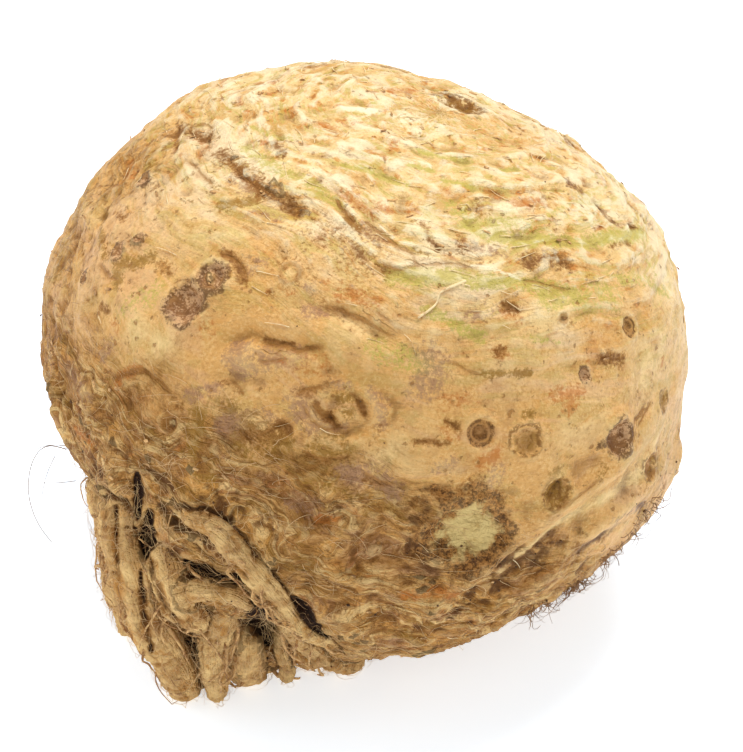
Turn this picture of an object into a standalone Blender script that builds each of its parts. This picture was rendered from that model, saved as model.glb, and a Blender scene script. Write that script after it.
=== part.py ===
"""A celeriac: one swollen root, pulled, trimmed and laid down on its root side.

The world frame is in metres with +Z up. X runs to the viewer's right and Y away from the viewer.
The origin is on the surface that the celeriac lies on, under the middle of its box.
A place on the skin is given as it is seen from the middle of the globe: an azimuth, 0 facing the
viewer and growing to the right, and a latitude, 0 at the waist and 90 straight up, in degrees.
Heights, depths and routes are in millimetres.
"""

import math
import random

import bmesh
import bpy
import numpy as np
from mathutils import Vector, noise

MM = 0.001
SEED = 4724

# The globe: its middle above the floor, and its half sizes
CENTRE = Vector((0.9, -1.0, 54.7))
HALF_WIDTH = 63.0
HALF_DEPTH = 62.0
HEIGHT_ABOVE = 54.0
DEPTH_BELOW = 56.0
SQUARENESS = 2.3
SKIN_SCALE = 60.0  # mm from the middle, where widths on the skin are measured

# Broad swellings and hollows: azimuth, latitude, spread in degrees, height
LOBES = (
    (-92, 8, 22, 4.6),
    (-76, -24, 17, -5.0),
    (-48, -50, 17, 7.5),
    (-20, -34, 8, -6.0),
    (-122, 39, 24, 2.0),
    (130, 42, 30, -6.0),
    (95, 20, 18, 1.6),
    (75, -18, 15, 2.6),
    (58, -36, 16, -1.6),
    (38, -52, 19, -6.2),
    (5, -55, 20, 2.0),
    (-110, -48, 22, -3.0),
    (175, -30, 34, 2.0),
)
SWELLS = ((1.3, 2.2, 7.3), (2.9, 0.9, 18.4), (6.0, 0.5, 29.5))  # noise frequency, height, noise shift

# The crown, where the leaf-scar rings centre, and the rings by their distance from it in degrees
CROWN = (122.0, 72.0)
RING_SPACING = 8.0
RING_HEIGHT = 1.1
RING_LIP = 0.2  # the share of a ring's width that its steep lower side takes
RING_FIRST = (10.0, 18.0)  # the rings begin at the first distance and are whole at the second
RING_LAST = (50.0, 74.0)
RING_WOBBLES = ((1.7, 5.0, 40.0), (5.0, 2.0, 50.0))  # noise frequency, degrees, noise shift
RING_DIP = (14, 42, 20, 7.0)  # where the rings sag down the front: azimuth, latitude, spread, sag
RING_BREAKS = (3.1, 60.0)  # noise frequency and shift of the places where the rings fade
RING_STRENGTH = (0.8, 0.9)  # mean and swing of the share of its height that a ring keeps
RING_STRENGTH_BOUNDS = (0.2, 1.2)

# Folds that run round the globe below the rings
FOLD_LENGTH = 2.2  # noise frequency round the crown
FOLD_SHIFT = 70.0  # noise shift
FOLD_WIDTH = 13.0  # degrees across a fold
FOLD_HEIGHT = 1.0
FOLD_FIRST = (30.0, 55.0)

# Scars of side roots and leaves: azimuth, latitude, radius, height of the rim, depth of the dish
SCARS = (
    (-40, 35, 4.4, 0.8, 1.3),
    (-35, 42, 3.0, 0.7, 1.0),
    (-20, 45, 1.9, 0.5, -0.4),
    (-4, 22, 5.6, 0.6, 0.6),
    (20, 17, 2.9, 0.5, 0.8),
    (28, 14, 3.1, 0.4, 0.5),
    (47, 8, 3.6, 0.7, 1.3),
    (33, 3, 3.0, 0.5, 0.4),
    (58, -4, 2.6, 0.5, 0.4),
    (57, 24, 2.2, 0.5, 0.4),
    (17, -1, 7.2, 1.0, 0.7),
    (131, 64, 6.0, 0.5, 1.0),
)
RIM_PLACE, RIM_WIDTH = 1.05, 0.32  # in radii of the scar
DISH_FLOOR = 0.35

# Scars on the sides turned away, set by a seeded rule
FAR_SCARS = 13
FAR_SCAR_GAP = 17.0  # degrees between two of them
FAR_SCAR_AZIMUTHS = (75, 255)
FAR_SCAR_LATITUDES = (-38, 42)
FAR_SCAR_RADII = (2.4, 4.4)
FAR_SCAR_RIMS = (0.3, 0.6)
FAR_SCAR_DISHES = (0.2, 0.9)

# Creases, and side roots that run under the skin: depth or height, half width, then their places
CREASES = (
    (-1.7, 2.2, ((-104, 52), (-68, 61), (-40, 61), (-26, 58), (-12, 57))),
    (-1.2, 1.8, ((-23, 41), (-7, 39), (6, 33))),
    (-1.1, 1.7, ((-34, 28), (-25, 33), (-14, 33), (-6, 30))),
    (-0.8, 1.6, ((-32, 25), (-20, 26), (-9, 29))),
    (-1.0, 1.8, ((-14, 26), (-8, 29), (0, 27), (5, 23), (2, 16))),
    (-1.3, 2.4, ((0, 9), (14, 8), (28, 3))),
    (2.0, 2.8, ((4, -30), (10, -19), (18, -9), (27, -3), (38, 1), (54, 4), (70, 4))),
    (1.6, 2.6, ((10, -32), (24, -19), (38, -11), (52, -8), (70, -9))),
    (1.2, 2.4, ((-16, -4), (-4, -10), (8, -14), (20, -24))),
    (1.1, 2.2, ((-26, 3), (-10, 0), (6, -4))),
    (1.2, 2.4, ((-12, -18), (0, -24), (14, -30))),
    (1.2, 2.6, ((-62, 14), (-52, 4), (-46, -6))),
    (1.2, 2.4, ((-78, 10), (-68, -2), (-62, -12))),
)
ROUTE_STEPS = 6  # straight steps between two places of a route
ROUTE_FADE = 0.25  # the share of a route over which each end fades
UNEVEN = (6.0, 0.85, 0.5)  # noise frequency along a route, its mean height and its swing
UNEVEN_SHIFT = 80.0  # noise shift

# Side roots under the skin of the far sides, climbing from the root end, set by a seeded rule
FAR_RIDGES = 11
FAR_RIDGE_AZIMUTHS = (85, 275)
FAR_RIDGE_PLACES = 4
FAR_RIDGE_START = (-52, -42)  # latitude
FAR_RIDGE_CLIMB = (9, 14)  # degrees up at each place
FAR_RIDGE_LEAN = (8, 22)  # degrees round at each place
FAR_RIDGE_JITTER = 6.0
FAR_RIDGE_HEIGHTS = (0.9, 1.8)
FAR_RIDGE_WIDTHS = (1.8, 2.4)

# Root stubs that show at the front left: their routes from the skin outward, and their radii
ROOTS = (
    (((-43, -16, 50), (-51, -27, 41), (-51, -30, 32), (-51, -28, 21), (-51, -22, 9), (-51, -20, 5)),
     (5.0, 3.8, 3.0, 2.6, 2.3, 1.5)),
    (((-40, -28, 53), (-47, -36, 44), (-49, -37, 31), (-49, -32, 17), (-48, -24, 3), (-48, -22, -2)),
     (6.0, 4.6, 3.4, 2.9, 2.6, 2.2)),
    (((-38, -34, 52), (-46, -42, 42), (-45, -48, 33), (-42, -50, 21), (-38, -47, 10), (-36, -43, -2)),
     (6.4, 5.6, 4.6, 3.7, 3.5, 2.8)),
    (((-32, -38, 48), (-39, -46, 43), (-38, -51, 38), (-36, -53, 32), (-33, -51, 25), (-32, -50, 23)),
     (3.6, 3.0, 4.0, 4.6, 3.2, 1.7)),
    (((-22, -44, 34), (-27, -49, 29), (-29, -51, 21), (-30, -49, 11), (-30, -46, 3), (-30, -44, -2)),
     (4.2, 3.9, 3.2, 2.6, 1.9, 1.5)),
    (((-38, -50, 31), (-31, -57, 36), (-26, -59, 37), (-21, -55, 32), (-14, -46, 30)),
     (2.0, 2.0, 1.9, 1.8, 1.8)),
    (((-18, -38, 30), (-23, -44, 22), (-24, -46, 14), (-24, -40, 4), (-24, -37, -2)),
     (5.0, 4.0, 4.0, 3.7, 3.3)),
    (((-38, -40, 55), (-35, -50, 51), (-28, -57, 51), (-22, -60, 44), (-16, -59, 35),
      (-12, -55, 26), (-6, -48, 18), (1, -42, 16)),
     (4.0, 2.9, 2.6, 2.6, 2.5, 2.4, 2.4, 2.2)),
    (((-14, -44, 42), (-18, -55, 36), (-15, -53, 25), (-10, -46, 13), (-5, -38, 4), (-2, -33, -2)),
     (3.0, 2.2, 1.9, 2.0, 2.4, 3.0)),
    (((-13, -38, 28), (-17, -47, 23), (-17, -46, 14), (-16, -41, 5), (-16, -39, -2)),
     (2.2, 1.4, 1.2, 1.2, 1.4)),
    (((-5, -46, 28), (-4, -54, 27), (-4, -58, 25)), (2.2, 1.7, 0.9)),
    (((-34, -22, 34), (-41, -33, 24), (-43, -36, 14), (-43, -34, 8)), (6.0, 4.4, 3.4, 2.4)),
    (((-28, -24, 32), (-34, -37, 24), (-35, -42, 12), (-34, -40, 2), (-34, -39, -2)),
     (6.0, 4.6, 3.6, 3.2, 2.8)),
    (((-22, -24, 30), (-28, -37, 20), (-29, -38, 8), (-28, -36, -2)), (6.0, 4.4, 3.6, 3.0)),
    (((-12, -24, 26), (-18, -36, 18), (-20, -36, 8), (-20, -34, -2)), (5.0, 4.2, 3.4, 3.0)),
    (((-4, -22, 20), (-9, -35, 15), (-11, -35, 7), (-11, -32, -2)), (6.0, 4.4, 3.6, 3.2)),
    (((-40, -6, 36), (-49, -14, 24), (-50, -14, 12), (-48, -12, 2), (-47, -11, -2)),
     (6.0, 4.2, 3.2, 2.6, 2.2)),
)

# Root stubs on the side turned away: how many, where they leave the skin, and their sizes
FAR_ROOTS = 9
FAR_ROOT_AZIMUTHS = (-172, -92)
FAR_ROOT_LATITUDES = (-48, -30)
FAR_ROOT_LENGTHS = (7.0, 16.0)
FAR_ROOT_RADII = (2.0, 3.4)
FAR_ROOT_DROOPS = (0.5, 1.6)
STUBS = 6
STUB_AZIMUTHS = (100, 190)
STUB_LATITUDES = (-56, -38)
STUB_LENGTHS = (4.0, 8.0)
STUB_RADII = (1.4, 2.4)
STUB_DROOPS = (0.2, 0.8)
ROOT_PLACES = (0.2, 0.8)  # where in its own share of the span a root stub may stand
ROOT_SUNK = 7.0
ROOT_FLARE = (1.5, 1.15)  # how much thicker a root is below the skin and at it
ROOT_BENDS = 3
ROOT_CROOKED = 0.35
ROOT_TAPER = 0.13  # thinner by this share at each bend
ROOT_KNOBBLY = (0.85, 1.15)
ROOT_TIP = 0.7
ROOT_SIDES_RESOLUTION = 2
ROOT_STEPS = 2
WELD = 0.01
TINY = 1e-9
SHARP_ANGLE = 50.0  # degrees between faces, from which a cut edge stays sharp

SKIN_TRIANGLES = 6600
GLOBE_SUBDIVISIONS = 7
FLOOR_BLOCK = 400.0
SKIN_COLOUR = (0.72, 0.53, 0.28, 1.0)
SKIN_ROUGHNESS = 0.62


def direction(azimuth: float, latitude: float) -> np.ndarray:
    """The unit direction from the middle of the globe to a place on the skin."""
    across, up = math.radians(azimuth), math.radians(latitude)
    return np.array(
        (math.cos(up) * math.sin(across), -math.cos(up) * math.cos(across), math.sin(up))
    )


def degrees_from(unit: np.ndarray, azimuth: float, latitude: float) -> np.ndarray:
    """How far each unit direction is from a place on the skin, in degrees."""
    return np.degrees(np.arccos(np.clip(unit @ direction(azimuth, latitude), -1.0, 1.0)))


def noise_at(points: np.ndarray, shift: float) -> np.ndarray:
    """Smooth noise between about -1 and 1 at each point."""
    offset = Vector((shift, 2.0 * shift, -shift))
    return np.array([noise.noise(Vector(point) + offset) for point in points])


def ramp(value: np.ndarray, low: float, high: float) -> np.ndarray:
    """0 up to low and 1 from high, with a smooth step between."""
    share = np.clip((value - low) / (high - low), 0.0, 1.0)
    return share * share * (3.0 - 2.0 * share)


def along_route(unit: np.ndarray, places: tuple) -> tuple:
    """How far each direction is from a route over the skin, in mm, and 0 to 1 how far along it."""
    corners = [direction(*place) for place in places]
    route = [
        start + (end - start) * step / ROUTE_STEPS
        for start, end in zip(corners, corners[1:]) for step in range(ROUTE_STEPS)
    ] + [corners[-1]]
    route = [point / np.linalg.norm(point) for point in route]
    nearest, passed = np.full(len(unit), np.inf), np.zeros(len(unit))
    for place, (start, end) in enumerate(zip(route, route[1:])):
        along = end - start
        share = np.clip((unit - start) @ along / (along @ along), 0.0, 1.0)
        away = np.linalg.norm(unit - start - share[:, None] * along, axis=1)
        passed = np.where(away < nearest, (place + share) / (len(route) - 1), passed)
        nearest = np.minimum(nearest, away)
    return nearest * SKIN_SCALE, passed


def globe_radius(unit: np.ndarray) -> np.ndarray:
    """The smooth globe with its broad swellings and hollows."""
    half_height = np.where(unit[:, 2] > 0, HEIGHT_ABOVE, DEPTH_BELOW)
    halves = np.stack(
        [np.full(len(unit), HALF_WIDTH), np.full(len(unit), HALF_DEPTH), half_height], axis=1
    )
    radius = (np.abs(unit / halves) ** SQUARENESS).sum(axis=1) ** (-1.0 / SQUARENESS)
    for azimuth, latitude, spread, height in LOBES:
        radius += height * np.exp(-((degrees_from(unit, azimuth, latitude) / spread) ** 2))
    for frequency, height, shift in SWELLS:
        radius += height * noise_at(unit * frequency, shift)
    return radius


def ring_height(unit: np.ndarray) -> np.ndarray:
    """Leaf-scar rings: wavy, broken terraces round the crown, each with a sharp lower lip."""
    azimuth, latitude, spread, sag = RING_DIP
    away = degrees_from(unit, *CROWN)
    wavy = away - sag * np.exp(-((degrees_from(unit, azimuth, latitude) / spread) ** 2))
    for frequency, degrees, shift in RING_WOBBLES:
        wavy += degrees * noise_at(unit * frequency, shift)
    phase = np.mod(wavy / RING_SPACING, 1.0)
    terrace = phase ** 2 * np.clip((1.0 - phase) / RING_LIP, 0.0, 1.0)
    whole = ramp(away, *RING_FIRST) * (1.0 - ramp(away, *RING_LAST))
    frequency, shift = RING_BREAKS
    mean, swing = RING_STRENGTH
    broken = np.clip(mean + swing * noise_at(unit * frequency, shift), *RING_STRENGTH_BOUNDS)
    return RING_HEIGHT * terrace * whole * broken


def fold_height(unit: np.ndarray) -> np.ndarray:
    """Soft folds that run round the globe below the rings."""
    crown = direction(*CROWN)
    away = degrees_from(unit, *CROWN)
    around = unit - (unit @ crown)[:, None] * crown
    around /= np.linalg.norm(around, axis=1)[:, None] + TINY
    points = around * FOLD_LENGTH + crown * (away / FOLD_WIDTH)[:, None]
    return FOLD_HEIGHT * ramp(away, *FOLD_FIRST) * noise_at(points, FOLD_SHIFT)


def far_scars() -> list:
    """Scars on the sides that the viewer doesn't see, no two of them close together."""
    rule = random.Random(SEED)
    kept = []
    while len(kept) < FAR_SCARS:
        azimuth, latitude = rule.uniform(*FAR_SCAR_AZIMUTHS), rule.uniform(*FAR_SCAR_LATITUDES)
        place = direction(azimuth, latitude)
        gaps = [math.degrees(math.acos(np.clip(place @ direction(*scar[:2]), -1, 1))) for scar in kept]
        if not gaps or min(gaps) > FAR_SCAR_GAP:
            kept.append((azimuth, latitude, rule.uniform(*FAR_SCAR_RADII),
                         rule.uniform(*FAR_SCAR_RIMS), rule.uniform(*FAR_SCAR_DISHES)))
    return kept


def scar_height(unit: np.ndarray) -> np.ndarray:
    """Round scars, each a dish inside a raised rim."""
    height = np.zeros(len(unit))
    for azimuth, latitude, radius, rim, dish in (*SCARS, *far_scars()):
        away = np.radians(degrees_from(unit, azimuth, latitude)) * SKIN_SCALE / radius
        height += rim * np.exp(-(((away - RIM_PLACE) / RIM_WIDTH) ** 2))
        height -= dish * (1.0 - ramp(away, DISH_FLOOR, 1.0))
    return height


def far_ridges() -> list:
    """The routes of side roots under the skin of the far sides, with their heights and widths."""
    rule = random.Random(SEED + 1)
    first, last = FAR_RIDGE_AZIMUTHS
    ridges = []
    for number in range(FAR_RIDGES):
        azimuth = first + (last - first) * number / FAR_RIDGES
        latitude, climb = rule.uniform(*FAR_RIDGE_START), rule.uniform(*FAR_RIDGE_CLIMB)
        lean = rule.uniform(*FAR_RIDGE_LEAN)
        places = tuple(
            (azimuth + lean * step + rule.uniform(-FAR_RIDGE_JITTER, FAR_RIDGE_JITTER),
             latitude + climb * step)
            for step in range(FAR_RIDGE_PLACES)
        )
        ridges.append((rule.uniform(*FAR_RIDGE_HEIGHTS), rule.uniform(*FAR_RIDGE_WIDTHS), places))
    return ridges


def crease_height(unit: np.ndarray) -> np.ndarray:
    """Creases in the skin, and the ridges of side roots under it, all fading at their ends."""
    frequency, mean, swing = UNEVEN
    height = np.zeros(len(unit))
    for rise, half_width, places in (*CREASES, *far_ridges()):
        away, passed = along_route(unit, places)
        uneven = mean + swing * noise_at(unit * frequency, UNEVEN_SHIFT + rise)
        fading = ramp(passed, 0.0, ROUTE_FADE) * (1.0 - ramp(passed, 1.0 - ROUTE_FADE, 1.0))
        height += rise * uneven * fading * np.exp(-((away / half_width) ** 2))
    return height


def skin_radius(unit: np.ndarray) -> np.ndarray:
    """The whole skin without the root stubs, in mm from the middle of the globe."""
    return (
        globe_radius(unit) + ring_height(unit) + fold_height(unit)
        + scar_height(unit) + crease_height(unit)
    )


def new_object(name: str, mesh: bpy.types.Mesh, collection: bpy.types.Collection) -> bpy.types.Object:
    """An object of this mesh, linked into the collection."""
    piece = bpy.data.objects.new(name, mesh)
    collection.objects.link(piece)
    return piece


def apply_modifiers(piece: bpy.types.Object) -> None:
    """Turns an object's modifiers into its own mesh."""
    bpy.context.view_layer.update()
    graph = bpy.context.evaluated_depsgraph_get()
    piece.data = bpy.data.meshes.new_from_object(piece.evaluated_get(graph))
    piece.modifiers.clear()


def make_globe() -> bpy.types.Object:
    """The swollen root itself: a fine ball pushed out to the skin, then thinned where it is plain."""
    ball = bmesh.new()
    bmesh.ops.create_icosphere(ball, subdivisions=GLOBE_SUBDIVISIONS, radius=1.0)
    unit = np.array([vertex.co.normalized()[:] for vertex in ball.verts])
    points = unit * skin_radius(unit)[:, None] + np.array(CENTRE)
    for vertex, point in zip(ball.verts, points):
        vertex.co = Vector(point) * MM
    mesh = bpy.data.meshes.new("celeriac")
    ball.to_mesh(mesh)
    ball.free()
    globe = new_object("celeriac", mesh, bpy.context.scene.collection)
    thin = globe.modifiers.new("Thin", "DECIMATE")
    thin.ratio = SKIN_TRIANGLES / len(mesh.polygons)
    apply_modifiers(globe)
    return globe


def make_root(name: str, route: tuple, radii: tuple, collection: bpy.types.Collection) -> None:
    """One root stub: a closed tube along a smooth route, as thick at each point as its radius."""
    curve = bpy.data.curves.new(name, "CURVE")
    curve.dimensions = "3D"
    curve.bevel_depth = MM
    curve.bevel_resolution = ROOT_SIDES_RESOLUTION
    curve.use_fill_caps = True
    curve.resolution_u = ROOT_STEPS
    spline = curve.splines.new("BEZIER")
    spline.bezier_points.add(len(route) - 1)
    for point, place, radius in zip(spline.bezier_points, route, radii):
        point.co = Vector(place) * MM
        point.radius = radius
        point.handle_left_type = point.handle_right_type = "AUTO"
    guide = bpy.data.objects.new(name, curve)
    collection.objects.link(guide)
    bpy.context.view_layer.update()
    graph = bpy.context.evaluated_depsgraph_get()
    mesh = bpy.data.meshes.new_from_object(guide.evaluated_get(graph))
    bpy.data.objects.remove(guide, do_unlink=True)
    welded = bmesh.new()
    welded.from_mesh(mesh)
    bmesh.ops.remove_doubles(welded, verts=welded.verts, dist=WELD * MM)
    bmesh.ops.recalc_face_normals(welded, faces=welded.faces)
    welded.to_mesh(mesh)
    welded.free()
    new_object(name, mesh, collection)


def skin_point(azimuth: float, latitude: float, above: float) -> Vector:
    """A point this far above the skin, or below it if negative, in mm."""
    unit = direction(azimuth, latitude)
    return CENTRE + Vector(unit) * (globe_radius(unit[None, :])[0] + above)


def seeded_root(rule: random.Random, azimuth: float, latitude: float, length: float,
                radius: float, droop: float) -> tuple:
    """The route and radii of a crooked root stub that leaves the skin at a place and droops."""
    start = skin_point(azimuth, latitude, -ROOT_SUNK)
    out = Vector(direction(azimuth, latitude))
    heading = (out + Vector((0.0, 0.0, -droop))).normalized()
    route = [start, start + out * ROOT_SUNK]
    radii = [radius * flare for flare in ROOT_FLARE]
    for bend in range(ROOT_BENDS):
        crooked = Vector([rule.uniform(-ROOT_CROOKED, ROOT_CROOKED) for _ in range(3)])
        heading = (heading + crooked).normalized()
        route.append(route[-1] + heading * length / ROOT_BENDS)
        radii.append(radius * (1.0 - ROOT_TAPER * bend) * rule.uniform(*ROOT_KNOBBLY))
    radii[-1] *= ROOT_TIP
    return tuple(route), tuple(radii)


def make_seeded_roots(name: str, rule: random.Random, count: int, azimuths: tuple, latitudes: tuple,
                      lengths: tuple, radii: tuple, droops: tuple,
                      collection: bpy.types.Collection) -> None:
    """This many root stubs, spread over a span of azimuths."""
    first, last = azimuths
    for number in range(count):
        azimuth = first + (last - first) * (number + rule.uniform(*ROOT_PLACES)) / count
        route, thickness = seeded_root(
            rule, azimuth, rule.uniform(*latitudes), rule.uniform(*lengths),
            rule.uniform(*radii), rule.uniform(*droops),
        )
        make_root(f"{name}_{number}", route, thickness, collection)


def make_roots(collection: bpy.types.Collection) -> None:
    """All root stubs: those of the front left by their routes, the others by a seeded rule."""
    for number, (route, radii) in enumerate(ROOTS):
        make_root(f"root_{number}", route, radii, collection)
    rule = random.Random(SEED + 2)
    make_seeded_roots("far_root", rule, FAR_ROOTS, FAR_ROOT_AZIMUTHS, FAR_ROOT_LATITUDES,
                      FAR_ROOT_LENGTHS, FAR_ROOT_RADII, FAR_ROOT_DROOPS, collection)
    make_seeded_roots("stub", rule, STUBS, STUB_AZIMUTHS, STUB_LATITUDES, STUB_LENGTHS,
                      STUB_RADII, STUB_DROOPS, collection)


def fuse_roots(globe: bpy.types.Object, collection: bpy.types.Collection) -> None:
    """Makes the globe and the root stubs one body."""
    fuse = globe.modifiers.new("Fuse", "BOOLEAN")
    fuse.operation = "UNION"
    fuse.operand_type = "COLLECTION"
    fuse.collection = collection
    fuse.solver = "EXACT"
    apply_modifiers(globe)
    for root in list(collection.objects):
        bpy.data.objects.remove(root, do_unlink=True)
    bpy.data.collections.remove(collection)


def trim_foot(globe: bpy.types.Object) -> None:
    """Cuts the underside and the lowest root tips flat at the floor."""
    block = bmesh.new()
    bmesh.ops.create_cube(block, size=FLOOR_BLOCK * MM)
    bmesh.ops.translate(block, verts=block.verts, vec=(0.0, 0.0, -FLOOR_BLOCK * MM / 2))
    mesh = bpy.data.meshes.new("floor_block")
    block.to_mesh(mesh)
    block.free()
    cutter = new_object("floor_block", mesh, bpy.context.scene.collection)
    cut = globe.modifiers.new("Trim", "BOOLEAN")
    cut.operation = "DIFFERENCE"
    cut.object = cutter
    cut.solver = "EXACT"
    apply_modifiers(globe)
    bpy.data.objects.remove(cutter, do_unlink=True)


def centre_over_origin(globe: bpy.types.Object) -> None:
    """Slides the celeriac over the floor until the middle of its box is above the origin."""
    points = np.array([vertex.co[:] for vertex in globe.data.vertices])
    middle = (points.min(axis=0) + points.max(axis=0)) / 2
    for vertex in globe.data.vertices:
        vertex.co -= Vector((middle[0], middle[1], 0.0))


def paint(globe: bpy.types.Object) -> None:
    """Shades the celeriac smooth up to its cut edges and gives it its one cream-brown skin."""
    globe.data.shade_smooth()
    globe.data.set_sharp_from_angle(angle=math.radians(SHARP_ANGLE))
    skin = bpy.data.materials.new("skin")
    skin.use_nodes = True
    surface = skin.node_tree.nodes["Principled BSDF"]
    surface.inputs["Base Color"].default_value = SKIN_COLOUR
    surface.inputs["Roughness"].default_value = SKIN_ROUGHNESS
    surface.inputs["Metallic"].default_value = 0.0
    globe.data.materials.clear()
    globe.data.materials.append(skin)


def clear_scene() -> None:
    """Removes every object of the scene."""
    for piece in list(bpy.data.objects):
        bpy.data.objects.remove(piece, do_unlink=True)


def main() -> None:
    """Builds the celeriac as one object."""
    clear_scene()
    globe = make_globe()
    roots = bpy.data.collections.new("roots")
    bpy.context.scene.collection.children.link(roots)
    make_roots(roots)
    fuse_roots(globe, roots)
    trim_foot(globe)
    centre_over_origin(globe)
    paint(globe)


main()
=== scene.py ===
"""A celeriac as it lies on a table: waxy skin, corky scars, trimmed root stubs, root hairs and soil.

Shapes are worked out in millimetres and become metres in the last step of each mesh. +Z is up and the
viewer stands on the -Y side. A place on the skin is an azimuth, 0 facing the viewer and growing to the
right, and a latitude, 0 at the waist and 90 straight up, in degrees from the middle of the globe.
"""

import logging
import math
import random
from collections.abc import Callable
from dataclasses import dataclass
from enum import Enum

import bmesh
import bpy
import numpy as np
from mathutils import Euler, Matrix, Vector, noise
from mathutils.bvhtree import BVHTree
from mathutils.kdtree import KDTree

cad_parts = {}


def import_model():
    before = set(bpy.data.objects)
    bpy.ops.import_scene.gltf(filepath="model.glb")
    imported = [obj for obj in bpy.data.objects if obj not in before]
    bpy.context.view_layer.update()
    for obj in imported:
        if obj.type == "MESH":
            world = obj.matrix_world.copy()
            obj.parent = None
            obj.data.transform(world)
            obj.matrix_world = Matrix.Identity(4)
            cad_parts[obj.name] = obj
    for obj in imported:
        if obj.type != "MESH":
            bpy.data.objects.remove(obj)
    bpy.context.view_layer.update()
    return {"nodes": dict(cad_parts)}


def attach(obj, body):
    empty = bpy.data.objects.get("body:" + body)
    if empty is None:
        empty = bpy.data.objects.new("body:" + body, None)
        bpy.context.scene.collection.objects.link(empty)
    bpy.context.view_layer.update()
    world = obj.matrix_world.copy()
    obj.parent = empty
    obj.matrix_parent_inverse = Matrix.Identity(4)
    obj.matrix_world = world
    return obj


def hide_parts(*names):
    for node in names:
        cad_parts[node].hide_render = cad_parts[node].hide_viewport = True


LOG = logging.getLogger("celeriac")
MM = 0.001
SEED = 4724
NODE = "celeriac"
BODY = "root"
TINY = 1e-9
WELD = 0.001
OUTSIDE = 120.0
WHITE = (1.0, 1.0, 1.0, 1.0)


def draw(rule: random.Random, *ranges: tuple) -> list:
    """One number drawn from each range, in turn."""
    return [rule.uniform(*bounds) for bounds in ranges]


def direction(azimuth: float, latitude: float) -> np.ndarray:
    """The unit direction from the middle of the globe to a place on the skin."""
    across, up = math.radians(azimuth), math.radians(latitude)
    return np.array(
        (math.cos(up) * math.sin(across), -math.cos(up) * math.cos(across), math.sin(up))
    )


def degrees_from(unit: np.ndarray, azimuth: float, latitude: float) -> np.ndarray:
    """How far each unit direction is from a place on the skin, in degrees."""
    return np.degrees(np.arccos(np.clip(unit @ direction(azimuth, latitude), -1.0, 1.0)))


def noise_at(points: np.ndarray, shift: float) -> np.ndarray:
    """Smooth noise between about -1 and 1 at each point."""
    offset = Vector((shift, 2.0 * shift, -shift))
    return np.array([noise.noise(Vector(point) + offset) for point in points])


def ramp(value: np.ndarray, low: float, high: float) -> np.ndarray:
    """0 up to low and 1 from high, with a smooth step between."""
    share = np.clip((value - low) / (high - low), 0.0, 1.0)
    return share * share * (3.0 - 2.0 * share)


def strongest(zones: tuple, shares: tuple) -> np.ndarray:
    """The strongest of some zones at each point, each zone taken by its share."""
    return np.max([share * zone for zone, share in zip(zones, shares)], axis=0)


def measure_route(unit: np.ndarray, route: np.ndarray) -> tuple:
    """Measures directions against a route over the skin.

    Args:
        unit: unit directions.
        route: the directions that the route joins.

    Returns:
        The mm from the route, 0 to 1 how far along it, and 1 on its left or -1 on its right.
    """
    nearest, passed, side = np.full(len(unit), np.inf), np.zeros(len(unit)), np.ones(len(unit))
    for place, (start, end) in enumerate(zip(route, route[1:])):
        along = end - start
        share = np.clip((unit - start) @ along / (along @ along), 0.0, 1.0)
        away = np.linalg.norm(unit - start - share[:, None] * along, axis=1)
        closer = away < nearest
        passed = np.where(closer, (place + share) / (len(route) - 1), passed)
        side = np.where(closer, np.sign(unit @ np.cross(start, end)), side)
        nearest = np.minimum(nearest, away)
    return nearest * Globe.skin_scale, passed, side


def along_route(unit: np.ndarray, places: tuple, steps: int = 6) -> tuple:
    """Measures directions against the straight route through some places.

    Args:
        unit: unit directions.
        places: the route's places, each an azimuth and a latitude.
        steps: straight steps between two places.

    Returns:
        The mm from the route, and 0 to 1 how far along it.
    """
    corners = [direction(*place) for place in places]
    route = [
        start + (end - start) * step / steps
        for start, end in zip(corners, corners[1:]) for step in range(steps)
    ] + [corners[-1]]
    return measure_route(unit, [point / np.linalg.norm(point) for point in route])[:2]


class ScarKind(Enum):
    """What a scar on the skin looks like close up; each value is how irregular its outline is."""

    CORKY = 0.45
    RINGED = 0.12
    OLIVE = 0.4
    CUT = 0.35
    NUB = 0.2
    SWIRL = 0.5


@dataclass(frozen=True)
class Scar:
    """A scar of a side root or a leaf; lengths in mm."""

    azimuth: float
    latitude: float
    radius: float
    rim: float
    dish: float
    kind: ScarKind
    reach: float = 3.0
    outline: tuple = (14.0, 34.0, 0.5)

    def away(self, unit: np.ndarray) -> np.ndarray:
        """How far each direction is from the middle of the scar, in radii."""
        degrees = degrees_from(unit, self.azimuth, self.latitude)
        return np.radians(degrees) * Globe.skin_scale / self.radius

    def uneven_away(self, unit: np.ndarray) -> np.ndarray:
        """The same distance, bent in and out so that the scar's outline is irregular.

        Args:
            unit: unit directions.

        Returns:
            The distance of each direction, in radii.
        """
        away = self.away(unit)
        near = away < self.reach
        broad, narrow, share = self.outline
        bend = noise_at(unit[near] * broad, self.azimuth)
        bend += share * noise_at(unit[near] * narrow, self.latitude)
        away[near] *= 1.0 + self.kind.value * bend
        return away


@dataclass(frozen=True)
class Crease:
    """A crease in the skin, or with a positive rise the ridge of a root under it; lengths in mm.

    The filled share of a crease is full of corky scurf.
    """

    rise: float
    half_width: float
    places: tuple
    filled: float = 0.0


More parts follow.
